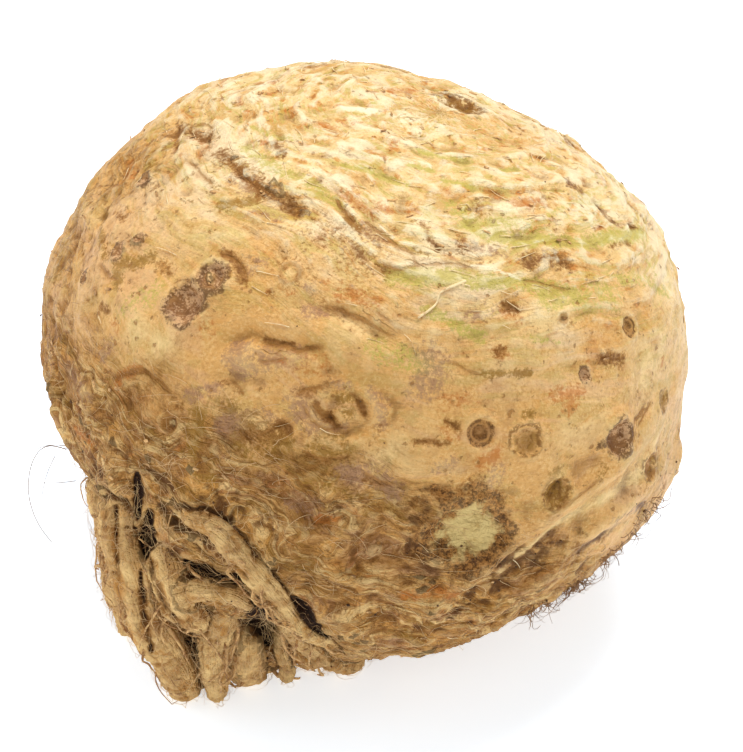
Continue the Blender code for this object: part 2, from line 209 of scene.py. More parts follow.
@dataclass(frozen=True)
class Globe:
    """The swollen root's skin, as a distance from its middle in every direction, in mm."""

    slide: tuple = (0.666, 0.733, 0.0)
    middle: tuple = (0.9, -1.0, 54.7)
    half_width: float = 63.0
    half_depth: float = 62.0
    height_above: float = 54.0
    depth_below: float = 56.0
    squareness: float = 2.3
    skin_scale: float = 60.0
    lobes: tuple = (
        (-92, 8, 22, 4.6), (-76, -24, 17, -5.0), (-48, -50, 17, 7.5), (-20, -34, 8, -6.0),
        (-122, 39, 24, 2.0), (130, 42, 30, -6.0), (95, 20, 18, 1.6), (75, -18, 15, 2.6),
        (58, -36, 16, -1.6), (38, -52, 19, -6.2), (5, -55, 20, 2.0), (-110, -48, 22, -3.0),
        (175, -30, 34, 2.0),
    )
    swells: tuple = ((1.3, 2.2, 7.3), (2.9, 0.9, 18.4), (6.0, 0.5, 29.5))
    crown: tuple = (122.0, 72.0)
    ring_spacing: float = 8.0
    ring_height: float = 1.1
    ring_lip: float = 0.2
    ring_first: tuple = (10.0, 18.0)
    ring_last: tuple = (50.0, 74.0)
    ring_wobbles: tuple = ((1.7, 5.0, 40.0), (5.0, 2.0, 50.0))
    ring_dip: tuple = (14, 42, 20, 7.0)
    ring_breaks: tuple = (3.1, 60.0)
    ring_strength: tuple = (0.8, 0.9)
    ring_strength_bounds: tuple = (0.2, 1.2)
    fold_length: float = 2.2
    fold_shift: float = 70.0
    fold_width: float = 13.0
    fold_height: float = 1.0
    fold_first: tuple = (30.0, 55.0)
    scars: tuple = (
        Scar(-40.8, 34.7, 4.2, 0.8, 1.2, ScarKind.CORKY),
        Scar(-37.8, 40.4, 3.1, 0.7, 0.9, ScarKind.CORKY),
        Scar(-20, 45, 1.9, 0.5, -0.4, ScarKind.NUB),
        Scar(-4, 22, 5.6, 0.6, 0.6, ScarKind.SWIRL),
        Scar(20, 17, 2.9, 0.5, 0.8, ScarKind.RINGED),
        Scar(28, 14, 3.1, 0.4, 0.5, ScarKind.OLIVE),
        Scar(47, 8, 3.6, 0.7, 1.3, ScarKind.CORKY),
        Scar(33, 3, 3.0, 0.5, 0.4, ScarKind.OLIVE),
        Scar(58, -4, 2.6, 0.5, 0.4, ScarKind.OLIVE),
        Scar(57, 24, 2.2, 0.5, 0.4, ScarKind.RINGED),
        Scar(17, -1, 7.2, 1.0, 0.7, ScarKind.CUT),
        Scar(131, 64, 6.0, 0.5, 1.0, ScarKind.OLIVE),
    )
    rim_place: float = 1.05
    rim_width: float = 0.32
    dish_floor: float = 0.35
    far_scars: int = 13
    far_scar_gap: float = 17.0
    far_scar_places: tuple = ((75, 255), (-38, 42))
    far_scar_sizes: tuple = ((2.4, 4.4), (0.3, 0.6), (0.2, 0.9))
    far_scar_kinds: tuple = (ScarKind.CORKY, ScarKind.OLIVE, ScarKind.RINGED)
    creases: tuple = (
        Crease(-1.7, 2.2, ((-104, 52), (-68, 61), (-40, 61), (-26, 58), (-12, 57)), 0.7),
        Crease(-1.2, 1.8, ((-23, 41), (-7, 39), (6, 33))),
        Crease(-1.1, 1.7, ((-34, 28), (-25, 33), (-14, 33), (-6, 30))),
        Crease(-0.8, 1.6, ((-32, 25), (-20, 26), (-9, 29))),
        Crease(-1.0, 1.8, ((-14, 26), (-8, 29), (0, 27), (5, 23), (2, 16))),
        Crease(-1.3, 2.4, ((0, 9), (14, 8), (28, 3))),
        Crease(2.0, 2.8, ((4, -30), (10, -19), (18, -9), (27, -3), (38, 1), (54, 4), (70, 4))),
        Crease(1.6, 2.6, ((10, -32), (24, -19), (38, -11), (52, -8), (70, -9))),
        Crease(1.2, 2.4, ((-16, -4), (-4, -10), (8, -14), (20, -24))),
        Crease(1.1, 2.2, ((-26, 3), (-10, 0), (6, -4))),
        Crease(1.2, 2.4, ((-12, -18), (0, -24), (14, -30))),
        Crease(1.2, 2.6, ((-62, 14), (-52, 4), (-46, -6))),
        Crease(1.2, 2.4, ((-78, 10), (-68, -2), (-62, -12))),
    )
    route_fade: float = 0.25
    route_reach: float = 3.2
    uneven: tuple = (6.0, 0.85, 0.5)
    uneven_shift: float = 80.0
    far_ridges: int = 11
    far_ridge_azimuths: tuple = (85, 275)
    far_ridge_places: int = 4
    # The ranges of the first latitude, the climb and the lean; then of the rise and half width.
    far_ridge_shape: tuple = ((-52, -42), (9, 14), (8, 22))
    far_ridge_jitter: float = 6.0
    far_ridge_sizes: tuple = ((0.9, 1.8), (1.8, 2.4))

    def centre(self) -> Vector:
        """The middle of the globe in the part's own frame, in mm."""
        return Vector(self.middle) + Vector(self.slide)

    def smooth_radius(self, unit: np.ndarray) -> np.ndarray:
        """The smooth globe with its broad swellings and hollows.

        Args:
            unit: unit directions.

        Returns:
            The radius at each direction.
        """
        halves = np.tile((self.half_width, self.half_depth, self.depth_below), (len(unit), 1))
        halves[unit[:, 2] > 0, 2] = self.height_above
        radius = (np.abs(unit / halves) ** self.squareness).sum(axis=1) ** (-1 / self.squareness)
        for azimuth, latitude, spread, height in self.lobes:
            radius += height * np.exp(-((degrees_from(unit, azimuth, latitude) / spread) ** 2))
        for frequency, height, shift in self.swells:
            radius += height * noise_at(unit * frequency, shift)
        return radius

    def ring_distance(self, unit: np.ndarray) -> np.ndarray:
        """The wavy distance from the crown that the leaf-scar rings follow.

        Args:
            unit: unit directions.

        Returns:
            The degrees from the crown.
        """
        azimuth, latitude, spread, sag = self.ring_dip
        away = degrees_from(unit, *self.crown)
        wavy = away - sag * np.exp(-((degrees_from(unit, azimuth, latitude) / spread) ** 2))
        for frequency, degrees, shift in self.ring_wobbles:
            wavy += degrees * noise_at(unit * frequency, shift)
        return wavy

    def rings(self, unit: np.ndarray, wavy: np.ndarray) -> np.ndarray:
        """Leaf-scar rings: wavy, broken terraces, each with a sharp lower lip.

        Args:
            unit: unit directions.
            wavy: the distance from the crown that they follow.

        Returns:
            The height at each direction.
        """
        away = degrees_from(unit, *self.crown)
        phase = np.mod(wavy / self.ring_spacing, 1.0)
        terrace = phase ** 2 * np.clip((1.0 - phase) / self.ring_lip, 0.0, 1.0)
        whole = ramp(away, *self.ring_first) * (1.0 - ramp(away, *self.ring_last))
        frequency, shift = self.ring_breaks
        mean, swing = self.ring_strength
        broken = np.clip(mean + swing * noise_at(unit * frequency, shift), *self.ring_strength_bounds)
        return self.ring_height * terrace * whole * broken

    def around(self, unit: np.ndarray) -> np.ndarray:
        """Each direction's unit direction round the crown."""
        crown = direction(*self.crown)
        around = unit - (unit @ crown)[:, None] * crown
        return around / (np.linalg.norm(around, axis=1)[:, None] + TINY)

    def folds(self, unit: np.ndarray) -> np.ndarray:
        """Soft folds that run round the globe below the rings."""
        away = degrees_from(unit, *self.crown)
        across = direction(*self.crown) * (away / self.fold_width)[:, None]
        points = self.around(unit) * self.fold_length + across
        return self.fold_height * ramp(away, *self.fold_first) * noise_at(points, self.fold_shift)

    def all_scars(self) -> tuple:
        """The scars that the viewer sees and, by a seeded rule, those on the far sides."""
        rule, kept, kinds = random.Random(SEED), [], random.Random(SEED + 7)
        while len(kept) < self.far_scars:
            azimuth, latitude = draw(rule, *self.far_scar_places)
            place = direction(azimuth, latitude)
            gaps = [
                math.degrees(math.acos(np.clip(place @ direction(scar.azimuth, scar.latitude), -1, 1)))
                for scar in kept
            ]
            if not gaps or min(gaps) > self.far_scar_gap:
                sizes = draw(rule, *self.far_scar_sizes)
                kept.append(Scar(azimuth, latitude, *sizes, kinds.choice(self.far_scar_kinds)))
        return (*self.scars, *kept)

    def scar_height(self, unit: np.ndarray, scar: Scar) -> np.ndarray:
        """A round scar: a dish inside a raised rim."""
        away = scar.away(unit)
        height = scar.rim * np.exp(-(((away - self.rim_place) / self.rim_width) ** 2))
        return height - scar.dish * (1.0 - ramp(away, self.dish_floor, 1.0))

    def all_creases(self) -> tuple:
        """The creases and ridges that the viewer sees and, by a seeded rule, the far ridges."""
        rule = random.Random(SEED + 1)
        first, last = self.far_ridge_azimuths
        ridges = []
        for number in range(self.far_ridges):
            azimuth = first + (last - first) * number / self.far_ridges
            latitude, climb, lean = draw(rule, *self.far_ridge_shape)
            places = tuple(
                (azimuth + lean * step + rule.uniform(-self.far_ridge_jitter, self.far_ridge_jitter),
                 latitude + climb * step)
                for step in range(self.far_ridge_places)
            )
            ridges.append(Crease(*draw(rule, *self.far_ridge_sizes), places))
        return (*self.creases, *ridges)

    def crease_height(self, unit: np.ndarray, filling: bool = False) -> np.ndarray:
        """Creases in the skin, and the ridges of side roots under it, fading at their ends.

        Args:
            unit: unit directions.
            filling: only as much of each as scurf fills.

        Returns:
            The height at each direction.
        """
        frequency, mean, swing = self.uneven
        height = np.zeros(len(unit))
        for crease in self.all_creases():
            part = crease.filled if filling else 1.0
            if not part:
                continue
            away, passed = along_route(unit, crease.places)
            near = away < crease.half_width * self.route_reach
            away, passed = away[near], passed[near]
            uneven = mean + swing * noise_at(unit[near] * frequency, self.uneven_shift + crease.rise)
            fading = ramp(passed, 0.0, self.route_fade)
            fading = fading * (1.0 - ramp(passed, 1.0 - self.route_fade, 1.0))
            shape = np.exp(-((away / crease.half_width) ** 2))
            height[near] += part * crease.rise * uneven * fading * shape
        return height

    def radius(self, unit: np.ndarray) -> np.ndarray:
        """The whole skin without the root stubs."""
        return (
            self.smooth_radius(unit) + self.rings(unit, self.ring_distance(unit)) + self.folds(unit)
            + sum(self.scar_height(unit, scar) for scar in self.all_scars()) + self.crease_height(unit)
        )


@dataclass(frozen=True)
class RootRoutes:
    """The routes of the trimmed root stubs from the skin outward, and their radii, in mm."""

    globe: Globe
    front: tuple = (
        (((-43, -16, 50), (-51, -27, 41), (-51, -30, 32), (-51, -28, 21), (-51, -22, 9),
          (-51, -20, 5)), (5.0, 3.8, 3.0, 2.6, 2.3, 1.5)),
        (((-40, -28, 53), (-47, -36, 44), (-49, -37, 31), (-49, -32, 17), (-48, -24, 3),
          (-48, -22, -2)), (6.0, 4.6, 3.4, 2.9, 2.6, 2.2)),
        (((-38, -34, 52), (-46, -42, 42), (-45, -48, 33), (-42, -50, 21), (-38, -47, 10),
          (-36, -43, -2)), (6.4, 5.6, 4.6, 3.7, 3.5, 2.8)),
        (((-32, -38, 48), (-39, -46, 43), (-38, -51, 38), (-36, -53, 32), (-33, -51, 25),
          (-32, -50, 23)), (3.6, 3.0, 4.0, 4.6, 3.2, 1.7)),
        (((-22, -44, 34), (-27, -49, 29), (-29, -51, 21), (-30, -49, 11), (-30, -46, 3),
          (-30, -44, -2)), (4.2, 3.9, 3.2, 2.6, 1.9, 1.5)),
        (((-38, -50, 31), (-31, -57, 36), (-26, -59, 37), (-21, -55, 32), (-14, -46, 30)),
         (2.0, 2.0, 1.9, 1.8, 1.8)),
        (((-18, -38, 30), (-23, -44, 22), (-24, -46, 14), (-24, -40, 4), (-24, -37, -2)),
         (5.0, 4.0, 4.0, 3.7, 3.3)),
        (((-38, -40, 55), (-35, -50, 51), (-28, -57, 51), (-22, -60, 44), (-16, -59, 35),
          (-12, -55, 26), (-6, -48, 18), (1, -42, 16)), (4.0, 2.9, 2.6, 2.6, 2.5, 2.4, 2.4, 2.2)),
        (((-14, -44, 42), (-18, -55, 36), (-15, -53, 25), (-10, -46, 13), (-5, -38, 4),
          (-2, -33, -2)), (3.0, 2.2, 1.9, 2.0, 2.4, 3.0)),
        (((-13, -38, 28), (-17, -47, 23), (-17, -46, 14), (-16, -41, 5), (-16, -39, -2)),
         (2.2, 1.4, 1.2, 1.2, 1.4)),
        (((-5, -46, 28), (-4, -54, 27), (-4, -58, 25)), (2.2, 1.7, 0.9)),
        (((-34, -22, 34), (-41, -33, 24), (-43, -36, 14), (-43, -34, 8)), (6.0, 4.4, 3.4, 2.4)),
        (((-28, -24, 32), (-34, -37, 24), (-35, -42, 12), (-34, -40, 2), (-34, -39, -2)),
         (6.0, 4.6, 3.6, 3.2, 2.8)),
        (((-22, -24, 30), (-28, -37, 20), (-29, -38, 8), (-28, -36, -2)), (6.0, 4.4, 3.6, 3.0)),
        (((-12, -24, 26), (-18, -36, 18), (-20, -36, 8), (-20, -34, -2)), (5.0, 4.2, 3.4, 3.0)),
        (((-4, -22, 20), (-9, -35, 15), (-11, -35, 7), (-11, -32, -2)), (6.0, 4.4, 3.6, 3.2)),
        (((-40, -6, 36), (-49, -14, 24), (-50, -14, 12), (-48, -12, 2), (-47, -11, -2)),
         (6.0, 4.2, 3.2, 2.6, 2.2)),
    )
    # Each row is a count, then the ranges of azimuth, latitude, length, radius and droop.
    far_groups: tuple = (
        (9, (-172, -92), (-48, -30), (7.0, 16.0), (2.0, 3.4), (0.5, 1.6)),
        (6, (100, 190), (-56, -38), (4.0, 8.0), (1.4, 2.4), (0.2, 0.8)),
    )
    places: tuple = (0.2, 0.8)
    sunk: float = 7.0
    flare: tuple = (1.5, 1.15)
    bends: int = 3
    crooked: float = 0.35
    taper: float = 0.13
    knobbly: tuple = (0.85, 1.15)
    tip: float = 0.7

    def seeded_root(self, rule: random.Random, azimuth: float, latitude: float, length: float,
                    radius: float, droop: float) -> tuple:
        """The route and radii of a crooked root stub that leaves the skin at a place and droops.

        Args:
            rule: the seeded draws.
            azimuth: where it leaves the skin.
            latitude: where it leaves the skin.
            length: its length outside the skin.
            radius: its radius near the skin.
            droop: how strongly it turns down.

        Returns:
            Its points and the radius at each.
        """
        out = Vector(direction(azimuth, latitude))
        skin = self.globe.smooth_radius(np.array(out)[None, :])[0]
        start = Vector(self.globe.middle) + out * (skin - self.sunk)
        heading = (out + Vector((0.0, 0.0, -droop))).normalized()
        route, radii = [start, start + out * self.sunk], [radius * flare for flare in self.flare]
        for bend in range(self.bends):
            turn = Vector(draw(rule, *[(-self.crooked, self.crooked)] * 3))
            heading = (heading + turn).normalized()
            route.append(route[-1] + heading * length / self.bends)
            radii.append(radius * (1.0 - self.taper * bend) * rule.uniform(*self.knobbly))
        radii[-1] *= self.tip
        return tuple(route), tuple(radii)

    def every(self) -> list:
        """All root stubs, as pairs of points and radii, in the frame before the slide."""
        rule = random.Random(SEED + 2)
        roots = list(self.front)
        for count, (first, last), *ranges in self.far_groups:
            for number in range(count):
                azimuth = first + (last - first) * (number + rule.uniform(*self.places)) / count
                roots.append(self.seeded_root(rule, azimuth, *draw(rule, *ranges)))
        return roots

    def samples(self, steps: int = 14) -> tuple:
        """Points along the middle lines of all root stubs.

        Args:
            steps: how many points there are from one place of a route to the next.

        Returns:
            The points, and at each the stub's heading, radius, length so far and number.
        """
        rows = []
        for number, (route, radii) in enumerate(self.every()):
            knots = np.array([(*place, radius) for place, radius in zip(route, radii)], dtype=float)
            line = rounded(knots, steps)
            points = line[:, :3] + self.globe.slide
            heading = np.gradient(points, axis=0)
            heading /= np.linalg.norm(heading, axis=1)[:, None]
            along = np.concatenate([[0.0], np.cumsum(np.linalg.norm(np.diff(points, axis=0), axis=1))])
            rows.append((points, heading, line[:, 3], along, np.full(len(line), number)))
        return tuple(np.concatenate(column) for column in zip(*rows))


def rounded(knots: np.ndarray, steps: int) -> np.ndarray:
    """A smooth line through all knots.

    Args:
        knots: the points that it goes through.
        steps: how many points there are from one knot to the next.

    Returns:
        The line's points.
    """
    ends = np.concatenate([knots[:1] * 2.0 - knots[1:2], knots, knots[-1:] * 2.0 - knots[-2:-1]])
    rows = []
    for before, start, end, after in zip(ends, ends[1:], ends[2:], ends[3:]):
        for step in range(steps):
            t = step / steps
            rows.append(0.5 * (
                2.0 * start + (end - before) * t + (2.0 * before - 5.0 * start + 4.0 * end - after) * t ** 2
                + (3.0 * start - before - 3.0 * end + after) * t ** 3
            ))
    return np.array([*rows, knots[-1]])


class Tint(Enum):
    """The colours that stain the skin in places."""

    GREEN = "green"
    BROWN = "brown"
    OLIVE = "olive"
    ORANGE = "orange"
    DARK = "dark"
    MAUVE = "mauve"
    # Partly paler skin and partly painted light: the lit right side and highlights on raised ridges.
    PALE = "pale"
    SOIL = "soil"
    ROUGH = "rough"


@dataclass(frozen=True)
class Stain:
    """A stained place or route on the skin; its half width in mm."""

    tint: Tint
    half_width: float
    strength: float
    places: tuple
    reach: float = 3.0

    def cover(self, unit: np.ndarray) -> np.ndarray:
        """How strongly the stain covers the skin.

        Args:
            unit: unit directions.

        Returns:
            The cover at each direction.
        """
        cover = np.zeros(len(unit))
        near = close_to(unit, self.places, self.reach * self.half_width)
        if len(self.places) > 1:
            away = along_route(unit[near], self.places)[0]
        else:
            away = np.radians(degrees_from(unit[near], *self.places[0])) * Globe.skin_scale
        cover[near] = self.strength * np.exp(-((away / self.half_width) ** 2))
        return cover


@dataclass(frozen=True)
class Wrinkle:
    """A thin dark wrinkle in the skin; its half width in mm."""

    half_width: float
    strength: float
    places: tuple
    reach: float = 2.4
    fade: float = 0.2

    def measure(self, unit: np.ndarray) -> tuple:
        """Where each direction stands on the wrinkle.

        Args:
            unit: unit directions.

        Returns:
            The mm from it, below 0 on its right, the same in half widths, and how clearly it shows.
        """
        away, passed, side = measure_route(unit, rounded(np.array([direction(*p) for p in self.places]), 4))
        shown = 1.0 - ramp(away, 0.5 * self.reach, self.reach)
        shown = shown * ramp(passed, 0.0, self.fade) * (1.0 - ramp(passed, 1.0 - self.fade, 1.0))
        widths = np.clip(away * side / self.half_width, -UNWRINKLED, UNWRINKLED)
        return away * side, widths, shown * self.strength


def close_to(unit: np.ndarray, places: tuple, reach: float) -> np.ndarray:
    """Finds the directions that may be near a route over the skin.

    Args:
        unit: unit directions.
        places: the route's places.
        reach: how near, in mm.

    Returns:
        Whether each direction may be that near.
    """
    corners = np.array([direction(*place) for place in places])
    middle = corners.mean(axis=0)
    middle /= np.linalg.norm(middle)
    widest = math.acos(min(1.0, (corners @ middle).min())) + reach / Globe.skin_scale
    return unit @ middle > math.cos(min(widest, math.pi))


# Each row is a half width, a strength, and the azimuth and latitude of each place in turn.
STAIN_PLACES = {
    Tint.GREEN: (
        (1.6, 1, 31, 54, 33, 51, 44, 47, 60, 40, 84, 30), (2.7, 0.5, 31, 58, 36, 53, 49, 48),
        (1.8, 1, 6, 46, 15, 45, 22, 44), (1.6, 0.8, 22, 43, 36, 40, 48, 34),
        (3.1, 0.55, 40, 36, 48, 33, 57, 30), (1.4, 0.7, 13, 39, 18, 36, 23, 33), (1, 0.4, 32, 31, 39, 28),
        (1.6, 0.5, 59, 32, 69, 28, 76, 21), (3.1, 0.45, 1, 33, 11, 30), (1, 0.9, -16, 72, -3, 71, 17, 66),
        (0.8, 0.9, 44, 75, 49, 71, 57, 66), (0.8, 0.9, 24, 71, 34, 68), (1, 0.9, 63, 60, 70, 58),
        (1.8, 0.6, -78, 64, -50, 65, -29, 65, -12, 61), (0.8, 0.7, 35, 65, 43, 60),
        (1, 0.6, -92, 66, -68, 73), (1.6, 0.35, -121, 55, -110, 62), (0.8, 0.5, 57, 48, 71, 46, 81, 40),
        (1, 0.7, 174, 81), (0.8, 0.5, 77, 28, 76, 25), (4.5, 0.35, -53, 29, -49, 34),
    ),
    Tint.OLIVE: (
        (1.6, 1, -50, 53, -45, 55, -41, 58), (1, 0.7, -85, 34, -77, 33, -68, 32),
        (1.4, 0.9, -60, 31, -63, 33, -60, 35, -57, 38), (1.6, 0.6, -92, 45, -84, 47),
        (2.4, 1, -31, 17, -31, 13, -30, 10, -30, 7), (1.8, 0.6, -29, 20, -25, 21),
        (2.7, 0.8, -9, 15, -7, 16), (2, 0.5, -18, 13, -15, 15), (2, 0.6, -5, 24, -4, 22),
        (1.6, 0.7, 29, 18), (0.8, 0.9, 22, 27, 31, 25), (2, 0.6, 15, -4, 19, -4),
        (2.4, 0.8, 142, 62, 132, 60), (1, 0.5, -64, 49, -59, 50), (1.2, 0.5, -59, 55, -66, 55),
        (1, 0.9, -8, 58, -4, 56), (1, 0.7, 13, 51, 16, 49), (1.2, 0.5, 43, 4, 41, 2),
        (2, 0.8, 33, 6, 32, 2), (2.9, 0.4, -10, 9, -3, 7), (2.4, 0.5, -24, 15, -21, 12),
        (3, 0.7, -21, 18, -16, 16), (2.4, 0.5, -9, 17, -4, 16),
    ),
    Tint.ORANGE: (
        (1, 1, -50, 16, -50, 18, -46, 21), (1.4, 0.9, -55, 25), (1.4, 0.9, -62, 1, -54, 3),
        (1.8, 0.6, -35, 33, -33, 31), (1.8, 0.6, -100, 39, -91, 41), (1, 0.8, -99, 49, -96, 54, -86, 57),
        (2, 0.75, -7, 43, -1, 42, 1, 41), (0.6, 0.8, -10, 47, -10, 44), (0.6, 0.7, -24, 41, -17, 42),
        (2.2, 0.8, -9, 64, -2, 61, 5, 60), (1.2, 1, 47, 59, 50, 56), (1.4, 1, 51, 53, 59, 51),
        (1.4, 0.8, 169, 74, 155, 68), (1, 0.9, -89, 80, -64, 82), (0.8, 0.9, -96, 85, -28, 88),
        (1.4, 0.6, 8, 74, 33, 80), (1.6, 0.8, 35, 20, 40, 19, 37, 17), (1.8, 0.95, 22, 13, 20, 12),
        (1.2, 0.9, 58, -1, 58, -5), (1.4, 0.9, 6, -14, 12, -13, 15, -14), (0.8, 0.8, -9, 2, -5, 2),
        (1.2, 1, -139, 55, -139, 59), (1.2, 1, -126, 53), (1.4, 0.7, -116, 60), (1, 0.6, 67, 69),
        (1.2, 0.5, 44, 23), (1.2, 0.7, 29, 36, 32, 34), (1.4, 0.8, 25, 31, 27, 29),
        (1, 0.5, 65, 14, 64, 12), (3.7, 0.4, -16, 30, -10, 30), (2, 0.5, 14, 23, 19, 23),
        (1.8, 0.5, 13, 19, 15, 17),
    ),
    Tint.BROWN: (
        (1.9, 1.1, -106, 49, -100, 53, -95, 56), (1, 0.9, -104, 43, -104, 46, -102, 49),
        (0.8, 0.9, -98, 50, -89, 51), (2.1, 1.05, -80, 59, -60, 61, -46, 60, -36, 60, -26, 58),
        (2.2, 1.2, -42, 59, -31, 59), (1.4, 1.1, -72, 69, -54, 69), (1.2, 0.75, -82, 45, -77, 46),
        (0.8, 0.8, -80, 37, -74, 38), (0.8, 0.6, -74, 33, -69, 33), (1.4, 0.85, -53, 38, -50, 38),
        (0.6, 0.6, -67, 31, -63, 31), (1, 1, -61, 26, -59, 26), (1, 0.45, -86, 27, -80, 27),
        (1.1, 1, -39, 45, -34, 44, -30, 41), (2.6, 0.6, -39, 38), (0.8, 1, -23, 41),
        (0.8, 0.7, -18, 44, -17, 46), (0.8, 0.6, -14, 43, -11, 41), (0.8, 0.9, -73, 9, -70, 7),
        (0.8, 0.8, -58, 15, -57, 14), (0.8, 1, -47, 16, -47, 15), (0.8, 0.8, -45, 15),
        (0.8, 0.7, -54, 11, -53, 10), (1, 0.8, -44, 9), (1.2, 0.6, -55, 5), (1.2, 0.8, -50, 5, -48, 5),
        (0.6, 0.9, -36, 18, -36, 16), (0.5, 0.8, -35, 19, -35, 17), (0.8, 0.6, -28, 24, -24, 23),
        (1.8, 0.9, -29, 14, -30, 8), (1, 0.8, -20, 16, -16, 19), (0.8, 0.7, -11, 14, -7, 13),
        (0.8, 0.8, -10, 24, -9, 22, -6, 20), (0.8, 0.7, -14, 25, -10, 26), (0.8, 0.8, -2, 24, -1, 22),
        (1, 0.6, 2, 20, 0, 17), (0.6, 0.9, 8, 17, 14, 16), (0.7, 1, 14, 20, 16, 19, 16, 18),
        (1, 0.8, -5, 52, -2, 50), (0.8, 1, 17, 56, 18, 52, 19, 50), (1.4, 0.8, 26, 51, 25, 49),
        (0.8, 0.7, 25, 46, 29, 45), (2, 1.15, 41, 43, 46, 42, 50, 40), (1.5, 1.1, 79, 48, 81, 45),
        (1.2, 1, 80, 40, 77, 39, 78, 36), (0.8, 0.8, 94, 33, 89, 30), (0.6, 0.8, 80, 35, 84, 32),
        (0.8, 0.8, 67, 36, 75, 33), (0.6, 1, 50, 57), (0.6, 0.9, 38, 56, 37, 55), (0.7, 0.9, 56, 45),
        (0.6, 0.7, 63, 51, 67, 49), (0.6, 0.9, 74, 61, 73, 60), (0.5, 0.9, 83, 57, 90, 52),
        (0.6, 0.9, -164, 62, -167, 59), (0.6, 0.6, -178, 55, 179, 57), (0.6, 0.7, 98, 79, 80, 79),
        (1.2, 1.1, 30, 37, 32, 36), (1.5, 1.1, 26, 30), (1.6, 1.2, 48, 22, 52, 20),
        (1, 1, 23, -14, 26, -16), (0.8, 0.9, 27, -15, 32, -13, 36, -12), (1.2, 0.85, 30, -8, 36, -9),
        (1.2, 0.8, 38, -11, 47, -14), (1, 0.7, 49, -12, 50, -10), (2.2, 0.85, 8, 5, 10, 2, 9, -2, 8, -6),
        (1.6, 0.75, 12, 7, 15, 6, 19, 9), (1.2, 0.75, 22, 6, 23, 2, 22, -4), (0.6, 0.9, -1, 10, 2, 9),
        (1.6, 0.6, 1, 4, 2, 1, 0, -1), (0.8, 0.6, 5, 3), (1.6, 0.5, -3, -9, -1, -8),
        (1.8, 0.5, 3, -13, 5, -12), (1.2, 0.6, -11, -4, -7, -6), (1.2, 0.5, 54, -7, 59, -8),
        (1.4, 0.95, 146, 64, 140, 61, 134, 60), (1, 0.7, 129, 61, 124, 60), (1.6, 0.6, -26, 8, -23, 11),
        (2, 0.6, -42, 5, -37, 8), (1.6, 0.6, -35, 8, -33, 6), (1.6, 0.6, -50, 1, -47, 1),
        (1.4, 0.5, -14, 6, -11, 5), (6, 0.8, 131, 63), (3, 0.7, 39, 56),
        (0.7, 1.1, -10, 24, -9, 22, -7, 21), (0.35, 1, -22, 33, -18, 33, -15, 33),
        (2.2, 0.75, -22, 16, -17, 17), (1, 1, -17, 19, -15, 18), (1.6, 0.6, -12, 25, -8, 26),
        (10, 0.42, -14, 55, 0, 50), (7, 0.4, -20, 47),
    ),
    Tint.DARK: (
        (0.8, 0.9, -100, 52), (0.8, 1, -58, 60, -54, 60), (0.8, 0.8, -34, 59), (1.2, 1, 43, 8, 44, 9),
        (0.6, 0.9, 141, 62), (0.6, 0.8, 133, 60), (0.6, 0.8, 78, 37), (0.8, 0.8, 25, -15),
        (0.6, 0.6, -55, -1, -55, -5), (0.6, 0.7, -38, 35), (0.6, 0.7, -41, 41), (0.6, 0.7, -35, 39),
        (1, 0.8, -44, 33, -42, 31),
    ),
    Tint.MAUVE: (
        (2, 0.8, -59, 59, -46, 58), (1, 0.8, -36, 43), (2, 0.9, -26, 30, -25, 27),
        (1.8, 0.6, -21, 30, -16, 31), (1.4, 0.7, -14, 39, -11, 39), (1, 0.7, -7, 27, -5, 27),
        (2.4, 0.8, -4, 11, 1, 11, 4, 8), (3.5, 0.55, 12, 32, 14, 29, 10, 26), (2.4, 0.6, -2, 56, 4, 54),
        (1.6, 0.55, 26, 50, 36, 46), (1.6, 0.65, -34, 20, -29, 23), (1.6, 0.6, -55, 22, -56, 19),
        (2, 0.65, 21, 8, 22, 10), (2.2, 0.7, -13, 5, -10, 4), (1.6, 0.45, 57, -12, 47, -9),
        (1.2, 0.6, -8, 19, -4, 20), (1.4, 0.5, -40, 54, -29, 55), (2, 0.45, 22, 37, 27, 37),
        (1.8, 0.6, 12, 12, 14, 13), (1, 0.65, 3, 24, 2, 20), (1.2, 0.5, -15, 43, -13, 44),
        (2.4, 0.5, -66, 11, -57, 11), (1.8, 0.5, -30, 44, -28, 46), (3.2, 0.7, -13, 23, -10, 20),
        (1.1, 0.6, -6, 27, -4, 27), (1.2, 0.75, 0, 26, 2, 23, 2, 20), (1.6, 0.8, -28, 28, -27, 30, -24, 31),
        (2.4, 0.7, -23, 29, -14, 31), (3, 0.7, -26, 17, -19, 19),
    ),
    # The pale places are partly paler skin and partly painted light: broad lit places on the right side,
    # and raised ridges painted as highlights.
    Tint.PALE: (
        (1.8, 1.3, -139, 83, 175, 85), (3.1, 0.7, -49, 27, -42, 27), (1.8, 0.5, -7, 38, 0, 36),
        (1, 0.5, -51, 45, -37, 50), (2.7, 0.6, 36, 34, 43, 34), (3.3, 0.35, 36, 13, 44, 14),
        (3.7, 0.6, 56, 14, 64, 18), (3.7, 0.8, 88, 26, 78, 21), (0.6, 0.9, -11, 55, -6, 54, 1, 51),
        (0.7, 0.9, 3, 57, 8, 53, 14, 50), (1.2, 0.9, 24, 75, 36, 69), (1.2, 0.8, -48, 68, -21, 68, -8, 65),
        (1.2, 0.6, 36, 57, 40, 54), (0.7, 0.9, 8, 48, 19, 47, 28, 45, 37, 40), (0.8, 0.7, 18, 53, 20, 51),
        (2.4, 0.6, -103, 27, -86, 32), (2, 0.5, -93, 22, -84, 15), (4.1, 0.5, -119, 62, -112, 77),
        (1.8, 0.5, -113, 46, -112, 53), (1.4, 0.9, 23, -11, 29, -7, 34, -4, 44, -4, 55, -4, 60, 1),
        (1.6, 0.6, 3, 7, 5, 5), (3.1, 0.6, 2, 14, 4, 16), (1.2, 0.4, -8, -2, -3, -2),
        (1.6, 0.4, -3, -4, 2, -5), (2, 0.5, 18, -8, 23, -11), (1, 0.6, -36, 15, -35, 14, -36, 12),
